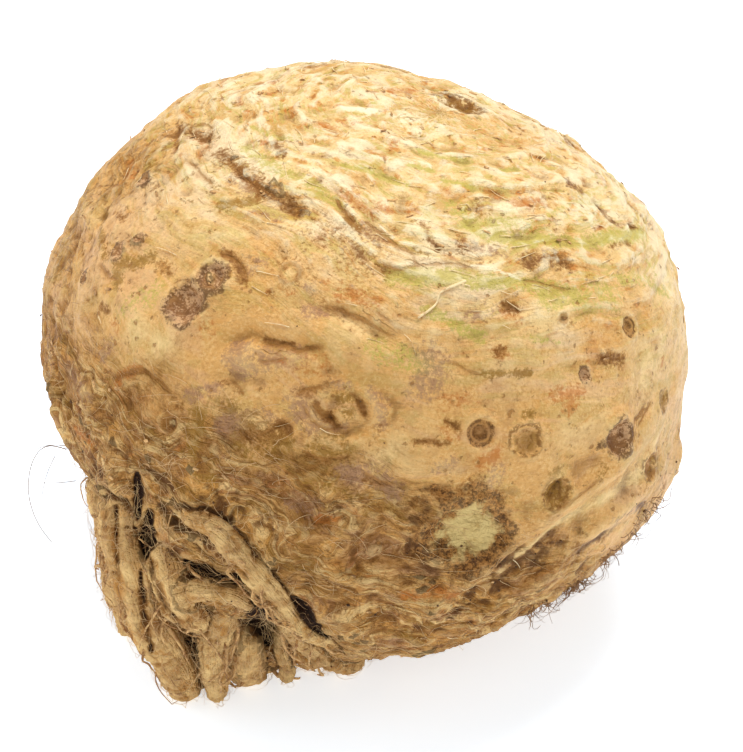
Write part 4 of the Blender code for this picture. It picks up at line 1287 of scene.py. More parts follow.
@dataclass
class SwollenRoot:
    """The celeriac itself: one closed body of skin and root stubs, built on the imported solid."""

    globe: Globe
    routes: RootRoutes
    relief: Relief
    voxel: float = 0.55
    quick_voxel: float = 0.75
    smoothing: int = 8
    triangles: int = 196000
    snap: tuple = (0.8, 2.2)
    inside_root: tuple = (0.6, 0.85)
    outside_root: tuple = (1.1, 1.5)
    flow_scales: tuple = (17.0, 3.0)
    off_floor: tuple = (0.05, 1.5)
    blurs: tuple = (("pit", 4), ("hollow", 40))
    root_blur: int = 3
    deep_inside: float = 3.0
    fuzz_place: tuple = (-40, -12)
    beard_places: tuple = ((38, -30), (50, -24), (62, -16))
    beard_width: float = 3.0
    ground: Ground | None = None

    def build(self, node: bpy.types.Object) -> bpy.types.Object:
        """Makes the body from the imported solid.

        Args:
            node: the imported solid.

        Returns:
            The finished piece, without its material.
        """
        piece = from_bmesh("swollen_root", welded(node.data))
        remesh = piece.modifiers.new("Remesh", "REMESH")
        remesh.mode = "VOXEL"
        remesh.voxel_size = self.voxel * MM
        soften = piece.modifiers.new("Soften", "SMOOTH")
        soften.iterations = self.smoothing
        apply_modifiers(piece)
        self.shape(piece.data)
        if len(piece.data.polygons) * 2 > self.triangles:
            thin = piece.modifiers.new("Thin", "DECIMATE")
            thin.ratio = self.triangles / (len(piece.data.polygons) * 2)
            apply_modifiers(piece)
        self.ground = self.mark(piece.data)
        piece.data.shade_smooth()
        return piece

    def measure(self, points: np.ndarray) -> tuple:
        """Where each point stands on the globe.

        Args:
            points: places in mm.

        Returns:
            The unit directions, the distances from the middle and, wavy, from the crown, the radius
            of the solid's skin, and 1 at the height of the skin to 0 away from it.
        """
        offset = points - np.array(self.globe.centre())
        distance = np.linalg.norm(offset, axis=1)
        unit = offset / distance[:, None]
        wavy = self.globe.ring_distance(unit)
        radius = self.globe.radius(unit)
        level = 1.0 - ramp(np.abs(distance - radius), *self.snap)
        return unit, distance, wavy, radius, level

    def near_roots(self, points: np.ndarray) -> tuple:
        """Where each point stands on the nearest root stub.

        Args:
            points: places in mm.

        Returns:
            Coordinates along the stub and round it, the nearest point of a round stub, and 1 on its
            surface to 0 away from it.
        """
        centres, headings, radii, lengths, numbers = self.routes.samples()
        tree = KDTree(len(centres))
        for place, centre in enumerate(centres):
            tree.insert(centre, place)
        tree.balance()
        found = [tree.find(point)[1] for point in points]
        offset, heading, radius = points - centres[found], headings[found], radii[found]
        along = (offset * heading).sum(axis=1)
        out = offset - along[:, None] * heading
        away = np.linalg.norm(out, axis=1)
        out /= away[:, None] + TINY
        side = np.cross(heading, (0.0, 1.0, 0.0))
        side /= np.linalg.norm(side, axis=1)[:, None] + TINY
        angle = np.arccos(np.clip((out * side).sum(axis=1), -1.0, 1.0))
        apart, around = self.flow_scales
        flow = np.stack([lengths[found] + along, numbers[found] * apart, angle * around], axis=1)
        share = away / radius
        surface = ramp(share, *self.inside_root) * (1.0 - ramp(share, *self.outside_root))
        round_place = centres[found] + along[:, None] * heading + out * radius[:, None]
        return flow, round_place, surface

    def shape(self, mesh: bpy.types.Mesh) -> None:
        """Gives the skin its exact form and fine relief, and the root stubs their bark.

        Args:
            mesh: the smooth body, which is changed.
        """
        points, normals = read_points(mesh), read_normals(mesh)
        unit, distance, wavy, radius, level = self.measure(points)
        root_flow, round_place, surface = self.near_roots(points)
        skin = level * (1.0 - surface)
        flow = self.relief.flow(self.globe, unit, wavy)
        fine = radius + self.relief.skin(self.globe, unit, wavy, flow)
        shaped = np.array(self.globe.centre()) + unit * (distance + skin * (fine - distance))[:, None]
        shaped += (round_place - points) * surface[:, None]
        bark = np.zeros(len(points))
        rooty = skin < 1.0
        bark[rooty] = self.relief.roots(root_flow[rooty], points[rooty]) * (1.0 - skin[rooty])
        shaped += normals * bark[:, None]
        shaped += self.relief.gap_depth(shaped)[:, None] * Gap.heading
        lifted = ramp(points[:, 2], *self.off_floor)
        shaped = points + (shaped - points) * lifted[:, None]
        shaped[:, 2] = np.maximum(shaped[:, 2], 0.0)
        write_points(mesh, shaped)

    def mark(self, mesh: bpy.types.Mesh) -> Ground:
        """Stores on the mesh what its material reads: flow, stains, scars, hollows and roots.

        Args:
            mesh: the finished body.

        Returns:
            The surface with the same marks, for what grows on it.
        """
        points, normals = read_points(mesh), read_normals(mesh)
        unit, distance, wavy, radius, level = self.measure(points)
        root_flow, _, surface = self.near_roots(points)
        skin = level * (1.0 - surface)
        flow = self.relief.flow(self.globe, unit, wavy)
        flow[skin < 0.5] = root_flow[skin < 0.5]
        self.store(mesh, "flow", flow)
        neighbours = Neighbours(mesh)
        root = neighbours.average(1.0 - skin, self.root_blur)
        root[distance < radius - self.deep_inside] = 0.0
        away, (_, widths, shown) = degrees_from(unit, *self.globe.crown), wrinkle_marks(unit)
        masks = {
            **{tint.value: stain_cover(tint, unit) for tint in Tint}, **self.scar_masks(unit, skin),
            # The painted shade of the gaps between root stubs.
            "root": root, "gap": self.relief.gap_shade(points),
            "crown": 1.0 - ramp(away, *self.relief.crown_reach), "fibrous": self.relief.fibrous(unit),
            "wrinkle": widths, "wrinkled": shown * skin,
        }
        for name, times in self.blurs:
            smooth = neighbours.average(points, times)
            masks[name] = neighbours.average(((smooth - points) * normals).sum(axis=1), 1)
        for name, mask in masks.items():
            self.store(mesh, name, mask)
        masks["root_away"] = degrees_from(unit, *self.fuzz_place)
        masks["beard"] = np.exp(-((along_route(unit, self.beard_places)[0] / self.beard_width) ** 2))
        faces = [tuple(polygon.vertices) for polygon in mesh.polygons]
        tree = BVHTree.FromPolygons([Vector(point) for point in points], faces)
        return Ground(tree, points, normals, masks)

    def scar_masks(self, unit: np.ndarray, skin: np.ndarray) -> dict:
        """Finds the nearest scar of each vertex.

        Args:
            unit: unit directions.
            skin: 1 on the skin to 0 on the root stubs.

        Returns:
            How far that scar is, in radii, and for each kind whether it is of that kind.
        """
        nearest, kinds = np.full(len(unit), 2.0), np.zeros(len(unit))
        for scar in (*self.globe.all_scars(), *self.relief.small_scars):
            away = scar.uneven_away(unit)
            closer = away < nearest
            nearest[closer], kinds[closer] = away[closer], scar.kind.value
        names = {
            "corky": ScarKind.CORKY, "ringed": ScarKind.RINGED, "spotted": ScarKind.OLIVE,
            "nubby": ScarKind.NUB, "cut": ScarKind.CUT,
        }
        return {"scar": nearest, **{name: (kinds == kind.value) * skin for name, kind in names.items()}}

    def store(self, mesh: bpy.types.Mesh, name: str, values: np.ndarray) -> None:
        """Stores a number or a vector for each vertex."""
        kind, key = ("FLOAT_VECTOR", "vector") if values.ndim > 1 else ("FLOAT", "value")
        layer = mesh.attributes.new(name, kind, "POINT")
        layer.data.foreach_set(key, values.astype(np.float32).ravel())


def linear(red: int, green: int, blue: int) -> tuple:
    """A colour for a shader from its screen values of 0 to 255."""
    shares = [channel / 255.0 for channel in (red, green, blue)]
    return (*(s / 12.92 if s <= 0.04045 else ((s + 0.055) / 1.055) ** 2.4 for s in shares), 1.0)


class Value:
    """A number that a shader works out, so that Python's own signs add its Math nodes."""

    def __init__(self, nodes: "Nodes", socket: bpy.types.NodeSocket) -> None:
        """Keeps the nodes and the socket that gives the number."""
        self.nodes = nodes
        self.socket = socket

    def math(self, operation: str, first: object, second: object) -> "Value":
        """The result of one Math node."""
        node = self.nodes.add("ShaderNodeMath", {"operation": operation}, {0: first, 1: second})
        return Value(self.nodes, node.outputs[0])

    def __add__(self, other: object) -> "Value":
        """This number plus another."""
        return self.math("ADD", self, other)

    def __radd__(self, other: object) -> "Value":
        """Another number plus this one."""
        return self.math("ADD", other, self)

    def __sub__(self, other: object) -> "Value":
        """This number less another."""
        return self.math("SUBTRACT", self, other)

    def __rsub__(self, other: object) -> "Value":
        """Another number less this one."""
        return self.math("SUBTRACT", other, self)

    def __mul__(self, other: object) -> "Value":
        """This number times another."""
        return self.math("MULTIPLY", self, other)

    def __rmul__(self, other: object) -> "Value":
        """Another number times this one."""
        return self.math("MULTIPLY", other, self)

    def __abs__(self) -> "Value":
        """This number without its sign."""
        return self.math("ABSOLUTE", self, 0.0)

    def ramp(self, low: float, high: float) -> "Value":
        """A smooth step.

        Args:
            low: where it is 0.
            high: where it is 1; this may be the smaller.

        Returns:
            The step, from 0 to 1.
        """
        node = self.nodes.add(
            "ShaderNodeMapRange", {"interpolation_type": "SMOOTHSTEP"},
            {"Value": self, "From Min": low, "From Max": high},
        )
        return Value(self.nodes, node.outputs["Result"])


class Nodes:
    """The nodes of one finish."""

    def __init__(self, name: str) -> None:
        """Starts a material with its surface shader."""
        self.material = bpy.data.materials.new(name)
        self.material.use_nodes = True
        self.tree = self.material.node_tree
        self.surface = self.tree.nodes["Principled BSDF"]

    def add(self, kind: str, settings: dict, sockets: dict) -> bpy.types.Node:
        """Adds a node of any kind.

        Args:
            kind: the node's type.
            settings: its own settings, which are made first.
            sockets: the value or link of each socket, by its name or place.

        Returns:
            The node.
        """
        node = self.tree.nodes.new(kind)
        for name, setting in settings.items():
            setattr(node, name, setting)
        for key, value in sockets.items():
            self.feed(node.inputs[key], value)
        return node

    def feed(self, socket: bpy.types.NodeSocket, value: object) -> None:
        """Links a socket, or sets its value.

        Args:
            socket: the input.
            value: a number, a colour or an output.
        """
        if isinstance(value, Value):
            value = value.socket
        if isinstance(value, bpy.types.NodeSocket):
            self.tree.links.new(value, socket)
        else:
            socket.default_value = value

    def coat(self, name: str, value: object) -> None:
        """Feeds one input of the surface shader."""
        self.feed(self.surface.inputs[name], value)

    def place(self) -> bpy.types.NodeSocket:
        """The place in the piece's own frame, in metres."""
        return self.add("ShaderNodeTexCoord", {}, {}).outputs["Object"]

    def marks(self, *names: str) -> list:
        """Numbers stored on the mesh."""
        stored = [self.add("ShaderNodeAttribute", {"attribute_name": name}, {}) for name in names]
        return [Value(self, node.outputs["Fac"]) for node in stored]

    def flow(self, along: float, across: float) -> bpy.types.NodeSocket:
        """The flow stored on the mesh, scaled to waves per mm along it and across it."""
        stored = self.add("ShaderNodeAttribute", {"attribute_name": "flow"}, {}).outputs["Vector"]
        scales = (along, along, across)
        node = self.add("ShaderNodeVectorMath", {"operation": "MULTIPLY"}, {0: stored, 1: scales})
        return node.outputs[0]

    def noise(self, vector: bpy.types.NodeSocket, scale: float, detail: float = 3.0,
              roughness: float = 0.55, distortion: float = 0.0) -> Value:
        """Layered noise around 0.5.

        Args:
            vector: where it is read.
            scale: its waves.
            detail: its layers.
            roughness: how strong the finer layers are.
            distortion: how much it swirls.

        Returns:
            The noise.
        """
        node = self.add("ShaderNodeTexNoise", {}, {
            "Vector": vector, "Scale": scale, "Detail": detail, "Roughness": roughness,
            "Distortion": distortion,
        })
        return Value(self, node.outputs["Fac"])

    def cells(self, vector: bpy.types.NodeSocket, scale: float) -> Value:
        """The distance to the nearest of scattered points."""
        node = self.add("ShaderNodeTexVoronoi", {}, {"Vector": vector, "Scale": scale})
        return Value(self, node.outputs["Distance"])

    def mix(self, first: object, second: object, share: object) -> bpy.types.NodeSocket:
        """The first colour turned into the second by this share."""
        node = self.add("ShaderNodeMix", {"data_type": "RGBA"}, {"Factor": share, 6: first, 7: second})
        return node.outputs[2]

    def layers(self, colour: object, rows: tuple) -> bpy.types.NodeSocket:
        """The colour with others laid over it in turn, each row a tint, its cover and its gain."""
        for tint, cover, gain in rows:
            colour = self.mix(colour, tint, cover * gain)
        return colour

    def bump(self, height: Value, distance: float, strength: float) -> bpy.types.NodeSocket:
        """The surface's normal over small heights, the distance in mm."""
        sockets = {"Height": height, "Distance": distance * MM, "Strength": strength}
        return self.add("ShaderNodeBump", {}, sockets).outputs["Normal"]


@dataclass(frozen=True)
class SkinFinish:
    """Waxy cream skin with stains, wrinkles, corky scars, soil in its hollows and tan root bark, with
    painted shade in its hollows and gaps and painted highlights on the crown and raised places.
    """

    cream: tuple = linear(222, 168, 98)
    pale: tuple = linear(240, 204, 140)
    # Near white, for painted highlights on the crown and on raised places.
    white: tuple = linear(255, 244, 206)
    blush: tuple = linear(230, 178, 128)
    tan: tuple = linear(190, 132, 68)
    ochre: tuple = linear(214, 152, 74)
    mauve: tuple = linear(166, 124, 94)
    # Earth brown: the fibrous skin's own colour, also used as painted shade on the lower part and beside
    # the wrinkles.
    earth_and_shade: tuple = linear(166, 112, 54)
    straw: tuple = linear(214, 164, 94)
    green: tuple = linear(192, 178, 84)
    olive: tuple = linear(150, 108, 36)
    moss: tuple = linear(196, 162, 92)
    orange: tuple = linear(192, 108, 36)
    umber: tuple = linear(160, 108, 50)
    brown: tuple = linear(118, 72, 24)
    dark: tuple = linear(70, 38, 14)
    cork_dark: tuple = linear(146, 98, 58)
    cork_light: tuple = linear(222, 178, 134)
    bark_light: tuple = linear(236, 194, 128)
    bark_dark: tuple = linear(176, 124, 68)
    soil: tuple = linear(84, 52, 26)
    # Near black, painted as shade in the deepest hollows and gaps.
    cavity_shade: tuple = linear(30, 10, 8)
    cut: tuple = linear(214, 184, 118)
    roughness: tuple = (0.42, 0.8)
    gloss: float = 0.15

    def material(self) -> bpy.types.Material:
        """The finish as a material."""
        nodes = Nodes("celeriac_skin")
        place = nodes.place()
        broad = nodes.noise(place, 30.0, 2.0)
        patch = nodes.noise(place, 95.0, 4.0, 0.6, 0.6)
        mottle = nodes.noise(place, 260.0, 4.0, 0.65, 0.4)
        fine = nodes.noise(place, 800.0, 3.0, 0.65)
        grain = nodes.noise(place, 2600.0, 1.0, 0.6)
        streaks = nodes.noise(nodes.flow(0.08, 0.8), 1.0, 3.0, 0.62, 0.3)
        threads = nodes.noise(nodes.flow(0.22, 2.6), 1.0, 2.0, 0.6)
        drift = nodes.noise(nodes.flow(0.06, 0.24), 1.0, 4.0, 0.6, 0.8)
        other = nodes.noise(nodes.flow(0.11, 0.2), 1.0, 4.0, 0.62, 0.7)
        clot = nodes.noise(place, 150.0, 4.0, 0.66, 0.5)
        curl = nodes.noise(place, 190.0, 3.0, 0.6, 1.6)
        scurf = nodes.noise(place, 1500.0, 2.0, 0.7)
        flecks = nodes.noise(nodes.flow(0.14, 0.46), 1.0, 4.0, 0.6, 0.4)
        crown, fibrous, root = nodes.marks("crown", "fibrous", "root")
        pit, hollow, rough, pale = nodes.marks("pit", "hollow", "rough", "pale")
        messy = (fibrous * 0.85 + rough * 0.42 + (patch - 0.5) * 1.4).ramp(0.12, 0.85)
        grit = fine * 0.45 + grain * 0.2 + threads * 0.35
        speckle = (mottle - 0.5) * 1.3 + (fine - 0.5) * 1.8 + (scurf - 0.5) * 2.2

        # Lighter towards the pale places and the crown, darker over the fibrous skin: partly the skin's own
        # tone, partly painted light, brighter on the lit top and right side.
        light = broad * 0.35 + patch * 0.4 + mottle * 0.25 + pale * 0.24 + crown * 0.13 - messy * 0.08
        ochre = flecks * 0.6 + mottle * 0.4
        colour = nodes.layers(nodes.mix(self.cream, self.pale, light.ramp(0.45, 0.68)), (
            (self.blush, (drift * 0.6 + broad * 0.4 - crown * 0.03).ramp(0.5, 0.58), 0.4),
            (self.tan, (patch * 0.45 + mottle * 0.55 - crown * 0.03).ramp(0.49, 0.6), 0.4),
            (self.ochre, (drift * 0.5 + patch * 0.5).ramp(0.47, 0.4), 0.45),
            (self.moss, (clot * 0.6 + drift * 0.4).ramp(0.5, 0.42), 0.45),
            (self.tan, (fine * 0.4 + scurf * 0.6).ramp(0.5, 0.62), 0.45),
            (self.pale, (mottle * 0.3 + scurf * 0.7).ramp(0.48, 0.36), 0.4),
            # Earth brown over the fibrous root end and the rough skin: partly their own colour, partly
            # painted shade that darkens the lower part.
            (self.earth_and_shade, messy, 0.7),
            (self.straw, clot.ramp(0.51, 0.6) * messy, 0.65),
            (self.umber, (clot * 0.7 + other * 0.3).ramp(0.48, 0.41) * messy, 0.75),
            (self.olive, (drift * 0.7 + clot * 0.3).ramp(0.47, 0.41) * messy, 0.65),
            (self.olive, (clot * 0.5 + broad * 0.5).ramp(0.47, 0.41) * rough, 0.5),
            (self.umber, (clot * 0.5 + mottle * 0.5).ramp(0.53, 0.61) * rough, 0.6),
            (self.mauve, (drift * 0.6 + mottle * 0.4).ramp(0.53, 0.6) * (messy * 0.4 + 0.12), 0.8),
            (self.ochre, (patch * 0.6 + other * 0.4).ramp(0.52, 0.58) * messy, 0.65),
            (self.orange, ochre.ramp(0.56, 0.62) * messy, 0.4),
            (self.straw, streaks.ramp(0.51, 0.58) * messy, 0.6),
            (self.pale, (clot * 0.3 + streaks * 0.7).ramp(0.53, 0.61) * messy, 0.6),
            (self.umber, threads.ramp(0.46, 0.38) * messy, 0.45),
            (self.brown, (streaks * 0.8 + mottle * 0.2).ramp(0.45, 0.38) * (messy * 0.6 + 0.06), 0.8),
            (self.brown, abs(curl - 0.5).ramp(0.06, 0.005) * mottle.ramp(0.46, 0.56) * messy, 0.7),
            (self.brown, abs(curl - 0.44).ramp(0.02, 0.004) * (messy * 0.7 + 0.03), 0.75),
            (self.brown, abs(streaks - 0.56).ramp(0.02, 0.004) * mottle.ramp(0.5, 0.58) * messy, 0.6),
            (self.ochre, ochre.ramp(0.52, 0.58) * crown, 0.75),
            (self.orange, ochre.ramp(0.57, 0.63) * crown, 0.65),
            (self.green, (streaks * 0.6 + drift * 0.4).ramp(0.47, 0.42) * crown, 0.45),
            (self.umber, (flecks * 0.5 + fine * 0.5).ramp(0.58, 0.66) * crown, 0.6),
            # Near-white patches on the crown: partly pale skin, partly painted highlight.
            (self.white, (drift * 0.5 + broad * 0.5).ramp(0.49, 0.59) * crown, 0.5),
        ))
        for name, tint, low, high, gain in (
            ("green", self.green, 0.05, 0.8, 0.75), ("mauve", self.mauve, 0.05, 0.9, 0.7),
            ("orange", self.orange, 0.15, 1.0, 0.6), ("olive", self.olive, 0.1, 0.85, 0.75),
            ("brown", self.umber, 0.15, 1.0, 0.75), ("brown", self.brown, 0.7, 1.5, 0.8),
            ("dark", self.dark, 0.3, 1.1, 0.8),
        ):
            [stain] = nodes.marks(name)
            cover = (stain * 1.1 + speckle + pit) * stain.ramp(0.02, 0.4)
            colour = nodes.mix(colour, tint, cover.ramp(low, high) * gain)

        # Pale raised lips over the pale places, as painted highlight that turns near white on the crown.
        pale_lips_and_highlight = (pale + (fine - 0.5) * 0.8 + (mottle - 0.5) * 0.8).ramp(0.55, 1.0)
        wrinkle, wrinkled, soil, gap = nodes.marks("wrinkle", "wrinkled", "soil", "gap")
        wrinkle = abs(wrinkle)
        groove = (wrinkle + (fine - 0.5) * 3.0 + (mottle - 0.5) * 2.6).ramp(1.5, 0.3) * wrinkled
        shade = (pit * 3.0 + (0.5 - grit) * 2.0 + hollow * 0.3).ramp(0.05, 0.7)
        dots = (nodes.cells(place, 430.0) + (fine - 0.5) * 1.2 - rough * 0.1).ramp(0.19, 0.09)
        dots = dots * (mottle + rough * 0.1).ramp(0.5, 0.58)
        specks = (fine * 0.65 + mottle * 0.35 + messy * 0.012).ramp(0.59, 0.68)
        tone = (mottle * 0.5 + patch * 0.3 + grit * 0.2).ramp(0.42, 0.6)
        bark = nodes.layers(nodes.mix(self.bark_light, self.bark_dark, tone), (
            (self.ochre, (other * 0.5 + mottle * 0.5).ramp(0.52, 0.6), 0.5),
            # Umber mottling of the bark, darker in its pits as painted shade.
            (self.umber, (fine * 0.4 + clot * 0.6 - pit * 0.8).ramp(0.5, 0.4), 0.55),
        ))
        soil = soil * 0.6 + hollow * 0.3 + pit + mottle * 0.7 + messy * 0.03
        # Painted shade: brown and then near black where the skin is hollow, pitted or sunk in a gap between
        # root stubs, darker in a deeper gap.
        deep = hollow + pit * 2.0 + (0.5 - grit) * 1.5 + gap * 1.6
        # Pale grit, and painted highlight on the raised spots, strongest on the crown.
        pale_grit_and_highlight = ((grit - 0.5) * 2.0 - pit * 4.0 + crown * 0.1).ramp(0.1, 0.8)
        colour = nodes.layers(colour, (
            # Painted highlight on the pale lips.
            (nodes.mix(self.pale, self.white, crown), pale_lips_and_highlight, 0.75),
            # Painted shade: a soft earth-brown band on both sides of each wrinkle.
            (self.earth_and_shade, wrinkle.ramp(4.5, 0.5) * wrinkled, 0.4),
            (self.umber, groove, 0.9),
            (self.brown, shade, messy * 0.35 + 0.2),
            (self.umber, dots, 0.7),
            (self.brown, specks, 0.6),
            (bark, root.ramp(0.2, 0.8), 1.0),
            (self.soil, soil.ramp(0.7, 1.05), 0.75),
            # Painted shade in the hollows, pits and gaps.
            (self.brown, deep.ramp(0.15, 0.9), root * 0.3 + 0.35),
            (self.cavity_shade, deep.ramp(0.75, 1.7), 0.9),
            # Painted highlight and pale grit, stronger on the crown.
            (nodes.mix(self.pale, self.white, crown), pale_grit_and_highlight, 0.3 + crown * 0.22),
        ))
        nodes.coat("Base Color", self.scars(nodes, colour, fine, grain, mottle))
        low, high = self.roughness
        dull = (fine * 0.6 + root * 0.4 + messy * 0.3).ramp(0.15, 0.9)
        nodes.coat("Roughness", low + (high - low) * dull)
        nodes.coat("Specular IOR Level", self.gloss)
        height = fine * 0.4 + grain * 0.12 + mottle * 0.5 - dots * 0.2 - specks * 0.1 - groove * 0.25
        height = height + threads * (0.08 + messy * 0.4) + streaks * (0.3 + messy * 0.9 + crown * 0.2)
        height = height + (clot * 0.8 + mottle * 0.8 + abs(curl - 0.5) * 1.3) * messy + scurf * 0.12
        nodes.coat("Normal", nodes.bump(height, 1.0, 1.0))
        return nodes.material

    def scars(self, nodes: "Nodes", colour: bpy.types.NodeSocket, fine: Value, grain: Value,
              mottle: Value) -> bpy.types.NodeSocket:
        """Paints the scars over the skin.

        Args:
            nodes: the material's nodes.
            colour: the skin's colour.
            fine: fine noise.
            grain: finer noise.
            mottle: coarser noise.

        Returns:
            The colour with the scars.
        """
        distance, corky, nubby, ringed, spotted, cut = nodes.marks(
            "scar", "corky", "nubby", "ringed", "spotted", "cut"
        )
        away = distance + (fine - 0.5) * 0.5 + (mottle - 0.5) * 0.9
        inside, edge = away.ramp(1.1, 0.8), abs(away - 0.85).ramp(0.34, 0.06)
        crumbs = (grain * 0.2 + fine * 0.4 + mottle * 0.4).ramp(0.46, 0.55)
        rings = distance + (fine - 0.5) * 0.3 + (mottle - 0.5) * 0.35
        cork = nodes.mix(self.cork_dark, self.cork_light, crumbs)
        flesh = nodes.mix(self.cut, self.olive, (mottle * 0.6 + fine * 0.4).ramp(0.48, 0.68) * 0.5)
        crust = nodes.mix(self.dark, self.tan, (fine * 0.6 + grain * 0.4).ramp(0.4, 0.62))
        crusted = abs(distance + (mottle - 0.5) * 1.4 - 0.95).ramp(0.34, 0.12)
        return nodes.layers(colour, (
            (cork, corky * inside, 0.7),
            (self.dark, corky * edge * (1.0 - crumbs * 0.85), 0.6),
            (self.umber, nubby * abs(away - 0.9).ramp(0.5, 0.1), 0.5),
            (self.pale, nubby * away.ramp(0.5, 0.15), 0.6),
            (self.umber, ringed * rings.ramp(0.95, 0.8), 0.6),
            *((self.dark, ringed * abs(rings - radius).ramp(width, width * 0.2)
               * (grain * 0.5 + fine * 0.5).ramp(0.6, 0.42), gain)
              for radius, width, gain in ((0.76, 0.2, 0.7), (0.4, 0.13, 0.6), (0.0, 0.14, 0.6))),
            (self.olive, spotted * inside * (mottle * 0.6 + fine * 0.4).ramp(0.44, 0.58), 0.6),
            *((self.brown, spotted * abs(away * 0.6 + distance * 0.4 - radius).ramp(width, width * 0.2)
               * fine.ramp(0.4, 0.55), gain)
              for radius, width, gain in ((0.9, 0.2, 0.65), (0.45, 0.14, 0.5))),
            (flesh, cut * away.ramp(0.92, 0.5), 1.0),
            (crust, cut * crusted, 0.8),
        ))


@dataclass(frozen=True)
class BarkFinish:
    """Dull brown bark or soil of the small pieces, from light to dark, with its grain."""

    name: str
    light: tuple = linear(222, 178, 116)
    dark: tuple = linear(146, 98, 52)
    tones: tuple = (0.4, 0.62)
    scale: float = 500.0
    roughness: float = 0.85

    def material(self) -> bpy.types.Material:
        """The finish as a material."""
        nodes = Nodes(self.name)
        place = nodes.place()
        coarse, fine = nodes.noise(place, self.scale, 4.0, 0.6), nodes.noise(place, self.scale * 5.0, 3.0)
        tone = coarse * 0.65 + fine * 0.35
        nodes.coat("Base Color", nodes.mix(self.light, self.dark, tone.ramp(*self.tones)))
        nodes.coat("Roughness", self.roughness)
        nodes.coat("Normal", nodes.bump(coarse * 0.3 + fine * 0.15, 1.0, 0.8))
        return nodes.material


@dataclass(frozen=True)
class HairFinish:
    """Fine root hairs, from pale straw to dark brown."""

    name: str = "root_hair"
    straw: tuple = linear(228, 190, 134)
    brown: tuple = linear(150, 104, 58)
    darkness: tuple = (0.46, 0.68)
    roughness: float = 0.7

    def material(self) -> bpy.types.Material:
        """The finish as a material."""
        nodes = Nodes(self.name)
        place = nodes.place()
        tone = nodes.noise(place, 260.0, 3.0) * 0.7 + nodes.noise(place, 1300.0, 2.0) * 0.3
        nodes.coat("Base Color", nodes.mix(self.straw, self.brown, tone.ramp(*self.darkness)))
        nodes.coat("Roughness", self.roughness)
        return nodes.material


def random_vector(rule: random.Random) -> Vector:
    """A vector of about unit length with a seeded direction."""
    return Vector([rule.gauss(0.0, 0.6) for _ in range(3)])


def tubes(name: str, strands: list, roundness: int = 0) -> bpy.types.Object:
    """One piece of thin closed tubes.

    Args:
        name: the piece's name.
        strands: for each tube its points and the radius at each, in mm.
        roundness: 0 for four sides, and two sides more for each step.

    Returns:
        The piece.
    """
    curve = bpy.data.curves.new(name, "CURVE")
    curve.dimensions = "3D"
    curve.bevel_depth = MM
    curve.bevel_resolution = roundness
    curve.use_fill_caps = True
    for points, radii in strands:
        spline = curve.splines.new("POLY")
        spline.points.add(len(points) - 1)
        spline.points.foreach_set("co", [c for point in points for c in (*(point * MM), 1.0)])
        spline.points.foreach_set("radius", radii)
    guide = bpy.data.objects.new(name + "_guide", curve)
    bpy.context.scene.collection.objects.link(guide)
    bpy.context.view_layer.update()
    graph = bpy.context.evaluated_depsgraph_get()
    shell = welded(bpy.data.meshes.new_from_object(guide.evaluated_get(graph)))
    bpy.data.objects.remove(guide, do_unlink=True)
    bmesh.ops.recalc_face_normals(shell, faces=shell.faces)
    return from_bmesh(name, shell)


@dataclass(frozen=True)
class HairField:
    """Hairs or fibres that grow from the body's surface; lengths in mm."""

    name: str
    count: int
    lengths: tuple
    radii: tuple
    where: Callable[[dict], np.ndarray]
    steps: int = 7
    curl: float = 0.5
    lift: tuple = (0.1, 1.2)
    flowing: float = 0.0
    outward: float = 0.4
    droop: float = 0.2
    clinging: float = 1.0
    knobs: float = 0.0
    roundness: int = 0
    downward: float = 0.0
    rooted: float = 2.0
    arch: float = 0.8
    steady: tuple = (0.7, 0.3)
    taper: float = 0.65

    def build(self, ground: Ground, globe: Globe, rule: random.Random) -> bpy.types.Object:
        """Grows the whole field.

        Args:
            ground: the body's surface.
            globe: the skin, whose crown the fibres run round.
            rule: the seeded draws.

        Returns:
            The piece.
        """
        starts = ground.choose(rule, self.where(ground.masks), self.count)
        crown = Vector(direction(*globe.crown))
        strands = []
        for start in starts:
            place, normal = Vector(ground.points[start]), Vector(ground.normals[start])
            flow = crown.cross(normal).normalized() * rule.choice((-1.0, 1.0))
            heading = flow * self.flowing + normal * self.outward + random_vector(rule)
            heading.z -= self.downward
            strands.append(self.grow(ground, rule, place, normal, heading.normalized()))
        return tubes(self.name, strands, self.roundness)

    def grow(self, ground: Ground, rule: random.Random, place: Vector, normal: Vector,
             heading: Vector) -> tuple:
        """Grows one hair.

        Args:
            ground: the body's surface.
            rule: the seeded draws.
            place: where the hair starts.
            normal: the surface's normal there.
            heading: where the hair sets out to.

        Returns:
            Its points and the radius at each.
        """
        length, radius, lift = draw(rule, self.lengths, self.radii, self.lift)
        bend = random_vector(rule) * self.curl
        points = [place - normal * radius * self.rooted]
        for step in range(1, self.steps + 1):
            share = step / self.steps
            heading = heading + (bend + random_vector(rule) * self.curl) / self.steps * 2.0
            heading = (heading + Vector((0.0, 0.0, -self.droop / self.steps))).normalized()
            place = place + heading * length / self.steps
            spot, normal, above = ground.nearest(place)
            height = radius + lift * math.sin(math.pi * share * self.arch)
            wanted = spot + normal * height
            place = wanted if above < radius else place.lerp(wanted, self.clinging)
            place.z = max(place.z, radius)
            kept, turned = self.steady
            heading = (place - points[-1]).normalized() * kept + heading * turned
            points.append(place)
        radii = [
            radius * (1.0 - self.taper * number / self.steps) * (1.0 + self.knobs * rule.uniform(-1.0, 1.0))
            for number in range(self.steps + 1)
        ]
        return points, radii


